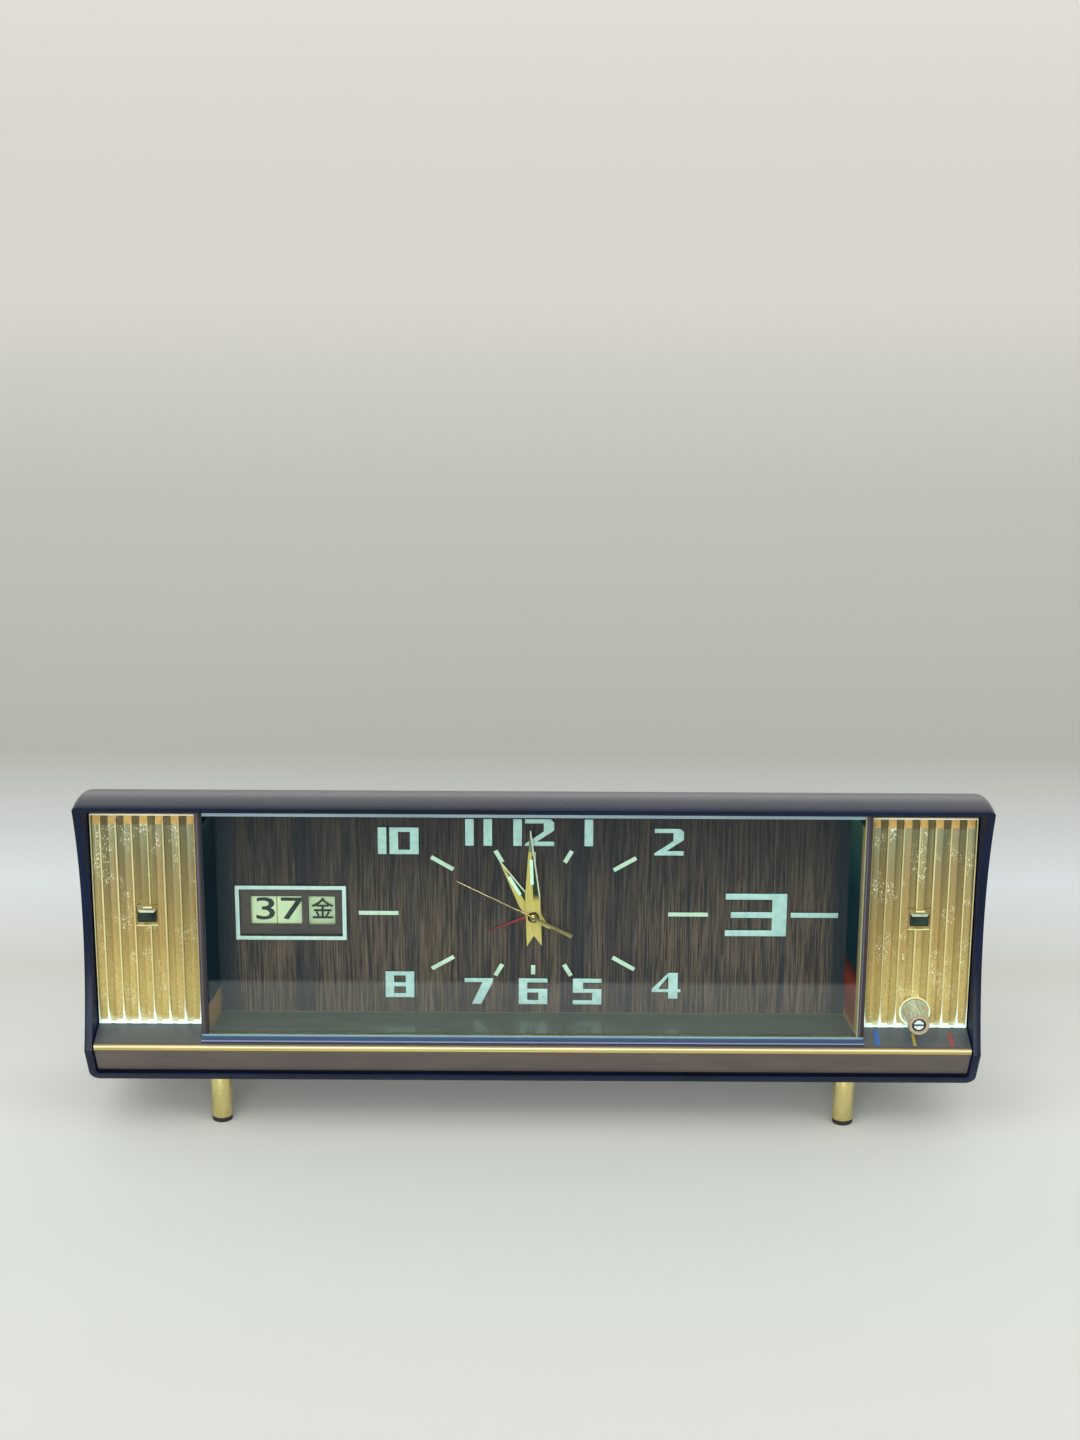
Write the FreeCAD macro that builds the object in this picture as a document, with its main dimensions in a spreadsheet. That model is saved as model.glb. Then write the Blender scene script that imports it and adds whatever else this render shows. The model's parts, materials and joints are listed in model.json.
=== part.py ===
import FreeCAD, Part
import math
import os
import re

import Sketcher

from FreeCAD import Placement, Rotation, Vector

# Desk clock with a date and weekday calendar, millimetres, +Z up, face towards -Y.
# Everything is drawn in the face frame: X from the middle, Y as depth behind the front
# of the window, Z as height over the underside of the case. Each sub-part is then moved
# by its Placement, back by face_shift and up by the height of the legs.

sizes = {
    # case
    "case_width": 360.0,
    "rear_face": 72.0,            # depth of the back of the case
    "side_wall": 3.0,
    "top_wall": 2.2,
    "floor_wall": 3.5,
    "rear_wall": 3.0,
    "crown_height": 121.4,        # highest line of the rounded top
    "crown_radius": 80.0,
    "hood_reach": 8.0,            # the top edge stands this far in front of the window
    "waist_depth": 4.0,           # deepest point of the curved front edge
    "waist_height": 66.0,
    "chin_reach": 7.0,
    "chin_height": 17.0,
    "toe_depth": 3.5,
    "front_corner": 1.2,          # top corner radius at the front edge
    "rear_corner": 7.0,           # and at the back
    "foot_corner": 4.0,
    "rear_opening_half": 146.0,
    "rear_opening_low": 8.0,
    "rear_opening_high": 68.0,
    "cover_overlap": 3.5,
    "cover_thick": 2.0,
    "screw_head": 2.6,
    "screw_head_thick": 1.4,
    "screw_shank": 1.3,
    # front
    "fit_gap": 0.6,               # play of the front frame inside the case
    "bezel_gap": 0.1,
    "panel_face": 9.0,
    "panel_groove": 1.2,
    "panel_back": 1.0,
    "panel_gap": 0.7,             # from the panels to the case wall
    "panel_margin": 1.0,          # from the outer ribs to the panel's edge
    "panel_high": 114.0,
    "rib_width": 3.3,
    "rib_count": 7,
    "sill_front": 19.5,
    "sill_rise": 2.7,
    "frame_wall": 2.0,
    "frame_top_gap": 1.0,
    "strip_low": 17.2,
    "strip_height": 2.0,
    "strip_thick": 1.6,
    "strip_groove": 0.6,
    "strip_inset": 0.4,
    "ornament_width": 7.3,
    "ornament_height": 5.5,
    "ornament_thick": 2.4,
    "ornament_level": 69.3,
    # window
    "opening_half": 130.5,
    "opening_low": 21.6,
    "opening_high": 116.5,
    "bezel_side": 3.0,
    "bezel_low": 2.6,
    "bezel_high": 2.1,
    "bezel_lip": 1.2,
    "glass_thick": 2.0,
    "glass_land": 1.2,
    "glass_gap": 0.2,
    "tunnel_wall": 1.5,
    "tunnel_fall": 4.0,           # the ceiling comes down towards the dial
    "reflector_thick": 1.2,
    "reflector_slant": 2.8,       # it leans in towards the dial
    "dial_depth": 24.0,
    "dial_thick": 1.2,
    "dial_level": 65.4,           # height of the hands' axis
    "dial_bore": 3.0,
    # numerals and markers
    "numeral_thick": 0.8,
    "numeral_height": 11.5,
    "numeral_width": 11.8,
    "one_width": 3.5,
    "one_gap": 1.2,
    "eleven_gap": 3.9,
    "big_three_height": 18.6,
    "big_three_width": 25.0,
    "big_three_middle": 90.5,
    "three_bar_start": 104.6,
    "three_bar_end": 123.9,
    "three_bar_width": 2.2,
    "row_high": 35.2,             # 11, 12 and 1
    "row_low": 34.2,              # 7, 6 and 5
    "row_side": 31.4,             # 10, 2, 8 and 4
    "column_near": 22.2,
    "column_far": 54.6,
    "marker_thick": 0.6,
    "marker_width": 1.8,
    "marker_long_start": 54.8,
    "marker_long_end": 71.0,
    "marker_side_inner": 37.6,
    "marker_side_outer": 48.1,
    "marker_side_angle": 30.5,
    "marker_near_inner": 25.6,
    "marker_near_outer": 31.4,
    "marker_near_angle": 60.5,
    "marker_six_inner": 22.6,
    "marker_six_outer": 26.8,
    # calendar
    "surround_left": -121.1,
    "surround_right": -76.0,
    "surround_half": 11.8,
    "surround_border": 1.65,
    "surround_thick": 1.2,
    "mask_thick": 0.8,
    "date_left": -115.0,
    "date_right": -94.3,
    "weekday_left": -91.8,
    "weekday_right": -80.8,
    "cell_half": 6.3,
    "drum_flat": 19.4,            # axis to the middle of a face, ten faces
    "drum_mask_gap": 0.4,         # from the drums' corners to the mask
    "weekday_flat": 18.0,         # seven faces
    "drum_gap": 0.3,
    "axle_radius": 1.5,
    "drum_clearance": 0.06,
    "calendar_module": 1.0,
    "drum_teeth": 36,
    "thumb_teeth": 27,
    "thumb_depth": 62.3,
    "thumb_width": 1.8,
    "thumb_axle_radius": 1.25,
    "thumb_slot_gap": 0.7,
    "thumb_end_gap": 1.0,
    "gear_overlap": 0.4,          # a drum's gear is this much wider than its thumbwheel
    "bracket_wall": 1.6,
    "bracket_bar": 2.0,
    "bracket_gap": 0.5,           # between the cheeks and the outer gears
    "bracket_room": 2.2,          # over the drums
    "bracket_step": 0.3,          # cheeks behind the mask
    "bracket_neck": 5.0,
    "bracket_foot": 4.0,
    "bracket_foot_height": 12.0,
    "bar_lap": 4.0,
    "axle_fit": 0.02,
    "axle_end": 0.8,              # axles stand out of the cheeks
    # hands
    "hand_thick": 0.5,
    "hand_tip": 0.5,
    "minute_depth": 19.9,
    "minute_length": 37.0,
    "minute_width": 6.1,
    "minute_tail": 13.0,
    "minute_notch": 5.0,
    "minute_angle": 358.0,
    "hour_depth": 21.3,
    "hour_length": 27.0,
    "hour_width": 6.0,
    "hour_tail": 9.0,
    "hour_angle": 329.8,
    "second_depth": 18.6,
    "second_length": 34.8,
    "second_width": 0.7,
    "second_tail": 17.7,
    "second_tail_width": 1.9,
    "second_angle": 297.0,
    "alarm_depth": 22.6,
    "alarm_length": 19.5,
    "alarm_width": 1.5,
    "alarm_angle": 248.0,
    "hub_radius": 2.4,
    "hub_step": 0.3,              # the hour hub is this much wider than the minute hub
    "cap_radius": 1.3,
    # movement
    "tube_step": 0.45,            # wall of each of the nested tubes
    "tube_gap": 0.1,
    "seconds_radius": 0.5,
    "front_plate_depth": 31.0,
    "back_plate_depth": 52.0,
    "plate_thick": 1.5,
    "motion_gap": 0.4,            # between the wheels in front of the front plate
    "pinion_gap": 0.3,            # the cannon pinion stands this much further back
    "train_gap": 1.2,             # between the wheels behind it
    "pinion_slack": 0.2,          # a pinion is longer than its wheel by this at each end
    "pivot_recess": 0.1,          # arbors end this far inside the plates
    "plate_half_width": 45.0,
    "plate_half_height": 29.0,
    "pillar_radius": 2.5,
    "pillar_inset": 4.0,
    "pillar_spigot": 1.4,
    "arbor_radius": 0.8,
    "pivot_gap": 0.06,
    "motion_module": 0.5,
    "hour_module": 0.48,
    "cannon_teeth": 12,
    "minute_wheel_teeth": 36,
    "minute_pinion_teeth": 10,
    "hour_wheel_teeth": 40,
    "alarm_wheel_teeth": 96,
    "alarm_pinion_teeth": 12,
    "alarm_pinion_angle": 240.0,
    "great_module": 0.6,
    "great_teeth": 60,
    "centre_pinion_teeth": 10,
    "barrel_angle": 300.0,
    "barrel_radius": 12.0,
    "centre_teeth": 64,
    "third_pinion_teeth": 8,
    "third_teeth": 60,
    "fourth_pinion_teeth": 8,
    "fourth_teeth": 80,
    "escape_pinion_teeth": 8,
    "fourth_module": 0.4,
    "escape_angle": 110.0,
    "escape_teeth": 15,
    "escape_radius": 6.2,
    "wheel_thick": 1.0,
    "pallet_reach": 2.3,          # pallet arbor outside the escape wheel
    "lever_tail": 9.5,
    "lever_claw": 4.9,
    "escape_line_angle": 5.7,          # the line from escape wheel to balance rises by this
    "balance_radius": 8.0,
    "balance_rim": 1.4,
    "balance_spoke": 1.2,
    "balance_reach": 21.2,        # escape arbor to balance staff
    "spring_turns": 4,
    "spring_strip": 0.2,
    "spring_height": 0.5,
    "spring_gap": 0.8,
    "spring_reach": 5.2,
    "balance_depth": 41.0,
    "alarm_barrel_x": 34.0,
    "alarm_barrel_drop": 14.0,
    "alarm_barrel_radius": 9.0,
    "alarm_barrel_length": 9.0,
    "alarm_great_teeth": 49,
    # bell
    "bell_x": 70.0,
    "bell_rise": 2.6,
    "bell_radius": 20.0,
    "bell_depth": 40.0,
    "bell_height": 11.0,
    "bell_wall": 1.0,
    "bell_crown": 6.6,            # outer radius between its top and its side
    "strap_half": 4.0,
    "strap_thick": 1.5,
    "strap_lap": 15.0,            # how far the bell's strap lies on the back plate
    "bell_nut": 3.0,
    "nut_thick": 1.5,
    "hammer_x": 40.0,
    "hammer_rise": 18.6,
    "hammer_head": 2.5,
    "hammer_thick": 4.0,
    "hammer_gap": 0.5,            # head to bell at rest
    "hammer_angle": 175.0,        # where it strikes, round the bell
    "hammer_arm_width": 1.4,
    "hammer_arm_thick": 1.0,
    # music movement
    "music_key_x": 116.0,
    "music_level": 30.0,
    "bed_depth": 60.0,
    "bed_thick": 2.0,
    "bed_left": 57.0,
    "bed_right": 130.0,
    "bed_low": 9.0,
    "bed_high": 46.0,
    "spring_case_radius": 12.0,
    "music_depth": 46.0,
    "cylinder_radius": 6.5,
    "cylinder_left": 71.0,
    "cylinder_right": 102.0,
    "comb_teeth": 18,
    "comb_thick": 1.2,
    "governor_x": 63.5,
    "governor_radius": 3.6,
    "governor_shaft": 0.6,
    "fan_thick": 0.5,
    "fan_length": 8.0,
    "fan_drop": 12.0,
    "worm_radius": 1.2,
    "worm_length": 6.0,
    "cheek_thick": 1.5,
    "cheek_height": 6.0,
    "cheek_gap": 0.5,
    "music_arm_width": 5.0,
    "music_arm_thick": 1.6,
    "music_post": 2.0,
    "bed_margin": 4.0,
    "music_shaft": 1.0,
    "comb_seat": 4.0,
    "comb_heel": 6.0,
    "comb_gap": 0.3,
    # knobs and keys at the back
    "stem_radius": 1.0,
    "stem_gap": 0.3,
    "knob_gap": 1.5,              # knobs stand off the cover
    "knob_flutes": 16,
    "flute_radius": 0.6,
    "flute_offset": 0.25,
    "set_knob_radius": 6.0,
    "set_knob_thick": 7.0,
    "alarm_knob_radius": 5.0,
    "key_reach": 88.0,
    "key_span": 11.0,
    "key_height": 9.0,
    "key_thick": 2.0,
    "key_shaft": 1.5,
    "key_collar": 2.6,
    "key_gap": 1.0,
    "regulator_drop": 24.0,
    "regulator_angle": 12.0,
    "regulator_ring": 3.0,
    "regulator_thick": 1.0,
    "regulator_width": 2.8,
    "regulator_bore_gap": 0.3,
    "tab_width": 1.6,
    "tab_height": 2.4,
    "tab_reach": 3.0,             # the tab stands this far out of the cover
    "tab_gap": 2.0,
    # selector
    "selector_level": 29.2,
    "selector_base": 5.5,
    "selector_end": 4.0,
    "selector_reach": 5.0,        # the knob's end in front of the window
    "selector_halo": 6.6,
    "selector_shaft": 2.0,
    "bushing_radius": 3.9,
    "bushing_tail": 4.0,
    "selector_socket": 2.0,       # how deep the shaft stops under the knob's end
    "disc_gap": 1.0,
    "disc_thick": 2.0,
    "disc_rim": 1.5,
    "shaft_tail": 3.0,
    # legs
    "leg_height": 21.5,
    "leg_radius": 4.35,
    "leg_x": 127.8,
    "leg_front": 11.5,
    "leg_rear": 61.5,
    "tip_height": 2.0,
    "tip_inset": 0.2,
    "leg_screw_depth": 8.0,
}

doc = FreeCAD.newDocument("DeskClock")
sheet = doc.addObject("Spreadsheet::Sheet", "Sizes")
for row, (alias, value) in enumerate(sizes.items(), start=1):
    sheet.set("A%d" % row, alias)
    sheet.set("B%d" % row, str(value))
    sheet.setAlias("B%d" % row, alias)
doc.recompute()


def mm(alias):
    """The value in the sheet's cell of this name."""
    return float(getattr(sheet, alias))


def formula(text):
    """An expression, with each cell's name turned into a reference to the sheet."""
    def reference(word):
        name = word.group()
        return "Sizes." + name if name in sizes else name
    return re.sub(r"[A-Za-z_]\w*", reference, text)


FACE_SHIFT = "(hood_reach - key_reach) / 2"
PANEL_INNER = "(opening_half + bezel_side)"
PANEL_OUTER = "(case_width / 2 - side_wall - panel_gap)"
PANEL_HALF = "((%s - %s) / 2)" % (PANEL_OUTER, PANEL_INNER)
PANEL_MIDDLE = "((%s + %s) / 2)" % (PANEL_INNER, PANEL_OUTER)
SELECTOR_X = PANEL_MIDDLE
parts = []


def bind(item, **formulas):
    for path, text in formulas.items():
        item.setExpression(path.replace("__", "."), formula(text))


def place(item, x="0", y="0", z="0"):
    """Puts an item at x, y, z of the face frame."""
    bind(item, Placement__Base__x=x)
    bind(item, Placement__Base__y="%s + %s" % (y, FACE_SHIFT))
    bind(item, Placement__Base__z="%s + leg_height" % z)
    return item


def box(name, x, y, z, length, width, height):
    item = doc.addObject("Part::Box", name)
    bind(item, Length=length, Width=width, Height=height)
    return place(item, x, y, z)


TURNS = {
    "X": Rotation(Vector(0, 1, 0), 90),
    "Y": Rotation(Vector(1, 0, 0), -90),
    "Z": Rotation(),
}


def rod(name, x, y, z, radius, length, axis="Y"):
    """A round rod from x, y, z along an axis."""
    item = doc.addObject("Part::Cylinder", name)
    bind(item, Radius=radius, Height=length)
    item.Placement = Placement(Vector(), TURNS[axis])
    return place(item, x, y, z)


def cone(name, x, y, z, radius1, radius2, length, axis="Y"):
    item = doc.addObject("Part::Cone", name)
    bind(item, Radius1=radius1, Radius2=radius2, Height=length)
    item.Placement = Placement(Vector(), TURNS[axis])
    return place(item, x, y, z)


def cut(name, base, *tools):
    item = doc.addObject("Part::Cut", name)
    item.Base = base
    item.Tool = tools[0] if len(tools) == 1 else fuse(name + "_tools", *tools)
    return item


def fuse(name, *pieces):
    item = doc.addObject("Part::MultiFuse", name)
    item.Shapes = list(pieces)
    item.Refine = True
    return item


def group(name, *pieces):
    item = doc.addObject("Part::Compound", name)
    item.Links = list(pieces)
    return item


def extrude(name, wire, half_length, extra="0"):
    """A closed outline in the YZ plane, drawn out to both sides of the middle."""
    item = doc.addObject("Part::Extrusion", name)
    item.Base = wire
    item.DirMode = "Custom"
    item.Dir = Vector(1, 0, 0)
    item.Solid = True
    bind(item, LengthFwd="%s + %s" % (half_length, extra), LengthRev="%s + %s" % (half_length, extra))
    return place(item)


def drawn(name, shape):
    """A shape worked out in this script, in the face frame."""
    item = doc.addObject("Part::Feature", name)
    item.Shape = Part.makeCompound([shape])
    return place(item)


def outline(name, edges):
    item = doc.addObject("Part::Feature", name)
    item.Shape = Part.Wire(edges)
    return item


def piece(label, item):
    """Names a finished sub-part; its label is its file's name."""
    item.Label = label
    parts.append(item)
    return item


def at(depth, height):
    return Vector(0, depth, height)


def polygon_solid(corners, depth, thick):
    """A flat plate parallel to the face, its corners given as (x, z)."""
    points = [Vector(x, depth, z) for x, z in corners]
    return Part.Face(Part.makePolygon(points + points[:1])).extrude(Vector(0, thick, 0))


def bar(depth, length, radius, x=0.0, z=0.0):
    return Part.makeCylinder(radius, length, Vector(x, depth, z), Vector(0, 1, 0))


# ---------------------------------------------------------------- body with sketches

def origin_plane(body, role):
    return next(plane for plane in body.Origin.OriginFeatures if plane.Role == role)


def rectangle_sketch(body, name, left, low, right, high):
    """A rectangle on the body's XZ plane between two corners given as formulas."""
    sketch = body.newObject("Sketcher::SketchObject", name)
    sketch.AttachmentSupport = (origin_plane(body, "XZ_Plane"), [""])
    sketch.MapMode = "FlatFace"
    corners = [Vector(-1, -1, 0), Vector(1, -1, 0), Vector(1, 1, 0), Vector(-1, 1, 0)]
    for start in range(4):
        sketch.addGeometry(Part.LineSegment(corners[start], corners[(start + 1) % 4]))
    for start in range(4):
        sketch.addConstraint(Sketcher.Constraint("Coincident", start, 2, (start + 1) % 4, 1))
    for line, way in enumerate(("Horizontal", "Vertical", "Horizontal", "Vertical")):
        sketch.addConstraint(Sketcher.Constraint(way, line))
    for way, line, text in (("DistanceX", 0, left), ("DistanceY", 0, low),
                            ("DistanceX", 2, right), ("DistanceY", 2, high)):
        number = sketch.addConstraint(Sketcher.Constraint(way, -1, 1, line, 1, -1.0 if line == 0 else 1.0))
        sketch.setExpression("Constraints[%d]" % number, formula(text))
    return sketch


def circle_sketch(body, name, circles):
    """Circles on the body's XZ plane, each as (x, z, radius) formulas."""
    sketch = body.newObject("Sketcher::SketchObject", name)
    sketch.AttachmentSupport = (origin_plane(body, "XZ_Plane"), [""])
    sketch.MapMode = "FlatFace"
    for number, (x, z, radius) in enumerate(circles):
        sketch.addGeometry(Part.Circle(Vector(1, 1, 0), Vector(0, 0, 1), 1.0))
        for way, text in (("DistanceX", x), ("DistanceY", z)):
            row = sketch.addConstraint(Sketcher.Constraint(way, -1, 1, number, 3, 1.0))
            sketch.setExpression("Constraints[%d]" % row, formula(text))
        row = sketch.addConstraint(Sketcher.Constraint("Radius", number, 1.0))
        sketch.setExpression("Constraints[%d]" % row, formula(radius))
    return sketch


def plate_body(name, left, low, right, high, depth, thick, holes=(), windows=()):
    """A plate parallel to the face, padded towards the back, with round and square holes."""
    body = doc.addObject("PartDesign::Body", name)
    sketch = rectangle_sketch(body, name + "_outline", left, low, right, high)
    pad = body.newObject("PartDesign::Pad", name + "_pad")
    pad.Profile = sketch
    pad.Reversed = True
    bind(pad, Length=thick)
    doc.recompute()
    if holes:
        pocket = body.newObject("PartDesign::Pocket", name + "_holes")
        pocket.Profile = circle_sketch(body, name + "_circles", holes)
        pocket.Type = "ThroughAll"
        pocket.Midplane = True
    for number, corners in enumerate(windows):
        pocket = body.newObject("PartDesign::Pocket", "%s_window_%d" % (name, number))
        pocket.Profile = rectangle_sketch(body, "%s_corners_%d" % (name, number), *corners)
        pocket.Type = "ThroughAll"
        pocket.Midplane = True
    return place(body, y=depth)


# ---------------------------------------------------------------- case

def arc_height(radius_cut, depth):
    """Height of the rounded top, or of a line parallel to it, at a depth."""
    radius = mm("crown_radius") - radius_cut
    return mm("crown_height") - mm("crown_radius") + math.sqrt(radius ** 2 - depth ** 2)


def block_outline(name, wall, floor, rear):
    """Side view of a block under the rounded top, run out past the front edge."""
    front = -2 * mm("hood_reach")
    mouth_top, mouth_low = at(front, arc_height(wall, front)), at(front, floor)
    heel, brow = at(rear, floor), at(rear, arc_height(wall, rear))
    crown = at(0, mm("crown_height") - wall)
    return outline(name, [
        Part.LineSegment(mouth_top, mouth_low).toShape(),
        Part.LineSegment(mouth_low, heel).toShape(),
        Part.LineSegment(heel, brow).toShape(),
        Part.Arc(brow, crown, mouth_top).toShape(),
    ])


def front_outline():
    """Side view of what is cut away in front of the curved front edge."""
    far, high, low = -4 * mm("hood_reach"), 2 * mm("crown_height"), -mm("floor_wall")
    hood = at(-mm("hood_reach"), arc_height(0, mm("hood_reach")))
    waist = at(mm("waist_depth"), mm("waist_height"))
    chin = at(-mm("chin_reach"), mm("chin_height"))
    toe = at(mm("toe_depth"), 0)
    corners = [chin, toe, at(toe.y, low), at(far, low), at(far, high), at(hood.y, high), hood]
    edges = [Part.LineSegment(start, end).toShape() for start, end in zip(corners, corners[1:])]
    return outline("front_outline", edges + [Part.Arc(hood, waist, chin).toShape()])


def round_corners(name, block, radius_front, radius_rear, radius_floor):
    """Rounds the long side edges of the top, more towards the back, and those of the floor."""
    doc.recompute()
    side = max(abs(block.Shape.BoundBox.XMin), abs(block.Shape.BoundBox.XMax))
    rounds = []
    for number, edge in enumerate(block.Shape.Edges, start=1):
        bounds = edge.BoundBox
        if abs(abs(bounds.XMin) - side) > 0.01 or bounds.XLength > 0.01:
            continue
        if bounds.YLength < mm("rear_face") / 2:
            continue
        if bounds.ZMax - mm("leg_height") < mm("waist_height") / 2:
            rounds.append((number, radius_floor, radius_floor))
        elif isinstance(edge.Curve, Part.Circle):
            first_is_front = edge.Vertexes[0].Point.y < edge.Vertexes[-1].Point.y
            radii = (radius_front, radius_rear) if first_is_front else (radius_rear, radius_front)
            rounds.append((number,) + radii)
    item = doc.addObject("Part::Fillet", name)
    item.Base = block
    item.Edges = rounds
    return item


def screw_holes(name, x_places, z_places, depth, length):
    """Round holes for the cover screws, at every pair of the places given."""
    holes = []
    for x in x_places:
        for z in z_places:
            holes.append(rod("%s_%d" % (name, len(holes)), x, depth, z, "screw_shank + pivot_gap", length))
    return holes


COVER_SCREW_X = ("-(rear_opening_half + cover_overlap / 2)", "0", "rear_opening_half + cover_overlap / 2")
COVER_SCREW_Z = ("rear_opening_low - cover_overlap / 2", "rear_opening_high + cover_overlap / 2")
LEG_X = ("-leg_x", "leg_x")
LEG_Y = ("leg_front", "leg_rear")


def case_shell():
    half = "case_width / 2"
    outer = extrude("case_block", block_outline("case_outline", 0, 0, mm("rear_face")), half)
    outer = round_corners("case_rounded", outer, mm("front_corner"), mm("rear_corner"), mm("foot_corner"))
    hollow = extrude("case_hollow", block_outline(
        "hollow_outline", mm("top_wall"), mm("floor_wall"), mm("rear_face") - mm("rear_wall")),
        half + " - side_wall")
    inner_front = max(mm("front_corner") - mm("side_wall") / 2, 0.2)
    hollow = round_corners("hollow_rounded", hollow, inner_front,
                           mm("rear_corner") - mm("side_wall"), mm("foot_corner") / 4)
    front = extrude("front_cutter", front_outline(), half, "1")
    opening = box("rear_opening", "-rear_opening_half", "rear_face - 2 * rear_wall", "rear_opening_low",
                  "2 * rear_opening_half", "3 * rear_wall", "rear_opening_high - rear_opening_low")
    holes = screw_holes("case_screw_hole", COVER_SCREW_X, COVER_SCREW_Z,
                        "rear_face - 2 * rear_wall", "3 * rear_wall")
    for x in LEG_X:
        for y in LEG_Y:
            holes.append(rod("leg_hole_%d" % len(holes), x, y, "-1", "screw_shank + pivot_gap",
                             "floor_wall + 2", "Z"))
    piece("case_shell", cut("case_shell", outer, hollow, front, opening, *holes))


def rear_cover():
    slot_half = mm("thumb_width") / 2 + mm("thumb_slot_gap")
    thumb_z = mm("dial_level") - thumb_drop()
    thumb_radius = mm("calendar_module") * (mm("thumb_teeth") / 2 + TOOTH_RISE)
    chord = math.sqrt(thumb_radius ** 2 - (mm("rear_face") - mm("thumb_depth")) ** 2)
    low, high = thumb_z - chord - mm("thumb_end_gap"), thumb_z + chord + mm("thumb_end_gap")
    windows = [(str(x - slot_half), str(low), str(x + slot_half), str(high)) for x in THUMB_X]
    lever_x, lever_z = lever_tab()
    sweep = mm("regulator_drop") * math.sin(math.radians(mm("regulator_angle")))
    lever_half = sweep + mm("tab_width") / 2 + mm("tab_gap")
    lever_high = mm("tab_height") / 2 + mm("tab_gap")
    windows.append((str(lever_x - lever_half), str(lever_z - lever_high),
                    str(lever_x + lever_half), str(lever_z + lever_high)))
    holes = [(x, z, "screw_shank + pivot_gap") for x in COVER_SCREW_X for z in COVER_SCREW_Z]
    for x, z in stem_places():
        holes.append((str(x), str(z), "stem_radius + stem_gap"))
    for x, z in key_places():
        holes.append((str(x), str(z), "key_shaft + stem_gap"))
    piece("rear_cover", plate_body(
        "rear_cover", "-(rear_opening_half + cover_overlap)", "rear_opening_low - cover_overlap",
        "rear_opening_half + cover_overlap", "rear_opening_high + cover_overlap",
        "rear_face", "cover_thick", holes, windows))


def cover_screws():
    screws = []
    for x in COVER_SCREW_X:
        for z in COVER_SCREW_Z:
            number = len(screws)
            shank = rod("cover_shank_%d" % number, x, "rear_face - rear_wall", z,
                        "screw_shank", "rear_wall + cover_thick")
            head = rod("cover_head_%d" % number, x, "rear_face + cover_thick", z,
                       "screw_head", "screw_head_thick")
            slot = box("cover_slot_%d" % number, "%s - screw_head" % x,
                       "rear_face + cover_thick + screw_head_thick / 2", "%s - screw_head / 8" % z,
                       "2 * screw_head", "screw_head_thick", "screw_head / 4")
            screws.append(cut("cover_screw_%d" % number, fuse("cover_pin_%d" % number, shank, head), slot))
    return screws


def legs():
    rods, tips, screws = [], [], []
    for x in LEG_X:
        for y in LEG_Y:
            number = len(rods)
            leg = rod("leg_rod_%d" % number, x, y, "tip_height - leg_height", "leg_radius",
                      "leg_height - tip_height", "Z")
            bore = rod("leg_bore_%d" % number, x, y, "-leg_screw_depth", "screw_shank + pivot_gap",
                       "leg_screw_depth + 1", "Z")
            rods.append(cut("leg_%d" % number, leg, bore))
            tips.append(rod("leg_tip_%d" % number, x, y, "-leg_height",
                            "leg_radius - tip_inset", "tip_height", "Z"))
            shank = rod("leg_shank_%d" % number, x, y, "-leg_screw_depth", "screw_shank",
                        "leg_screw_depth + floor_wall", "Z")
            head = rod("leg_head_%d" % number, x, y, "floor_wall", "screw_head", "screw_head_thick", "Z")
            screws.append(fuse("leg_screw_%d" % number, shank, head))
    piece("legs", group("legs", *rods))
    piece("leg_tips", group("leg_tips", *tips))
    piece("case_screws", group("case_screws", *(cover_screws() + screws)))


# ---------------------------------------------------------------- front

def front_fascia():
    """One moulding: the wall behind the panels, the sloping sill and the chin."""
    plate_front = mm("panel_face") + mm("panel_groove") + mm("panel_back")
    plate_rear = plate_front + mm("frame_wall")
    nose = mm("strip_thick") - mm("chin_reach") + mm("strip_inset")
    sill_rear = mm("sill_front") + mm("sill_rise")
    top = arc_height(mm("top_wall"), plate_rear) - mm("frame_top_gap")
    chin_top = nose - mm("strip_inset")
    slope = (mm("toe_depth") + mm("chin_reach")) / mm("chin_height")
    chin_low = chin_top + slope * (mm("strip_low") - mm("floor_wall"))
    corners = [
        (nose, mm("sill_front")), (plate_front, sill_rear), (plate_front, top), (plate_rear, top),
        (plate_rear, sill_rear - mm("frame_wall")),
        (nose + mm("frame_wall"), mm("sill_front") - mm("frame_wall")),
        (chin_low + mm("frame_wall"), mm("floor_wall")), (chin_low, mm("floor_wall")),
        (chin_top, mm("strip_low")), (nose, mm("strip_low")),
    ]
    points = [at(depth, height) for depth, height in corners]
    side = outline("fascia_outline", Part.makePolygon(points + points[:1]).Edges)
    block = extrude("fascia_block", side, "case_width / 2 - side_wall - fit_gap")
    window = box("fascia_window",
                 "-%s - glass_gap" % PANEL_INNER, "-1", "opening_low - bezel_low - bezel_gap",
                 "2 * (%s + glass_gap)" % PANEL_INNER, "3 * dial_depth", "crown_height")
    seat = rod("bushing_seat", SELECTOR_X, "0", "selector_level",
               "bushing_radius + glass_gap", "dial_depth")
    piece("front_fascia", cut("front_fascia", block, window, seat))


def gold_trim_strip():
    half = "case_width / 2 - side_wall - fit_gap"
    front = "strip_inset - chin_reach"
    strip = box("strip_bar", "-(%s)" % half, front, "strip_low",
                "2 * (%s)" % half, "strip_thick", "strip_height")
    groove = box("strip_valley", "-case_width / 2", "%s - strip_groove" % front,
                 "strip_low + strip_height / 2 - strip_groove / 2",
                 "case_width", "2 * strip_groove", "strip_groove")
    piece("gold_trim_strip", cut("gold_trim_strip", strip, groove))


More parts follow.
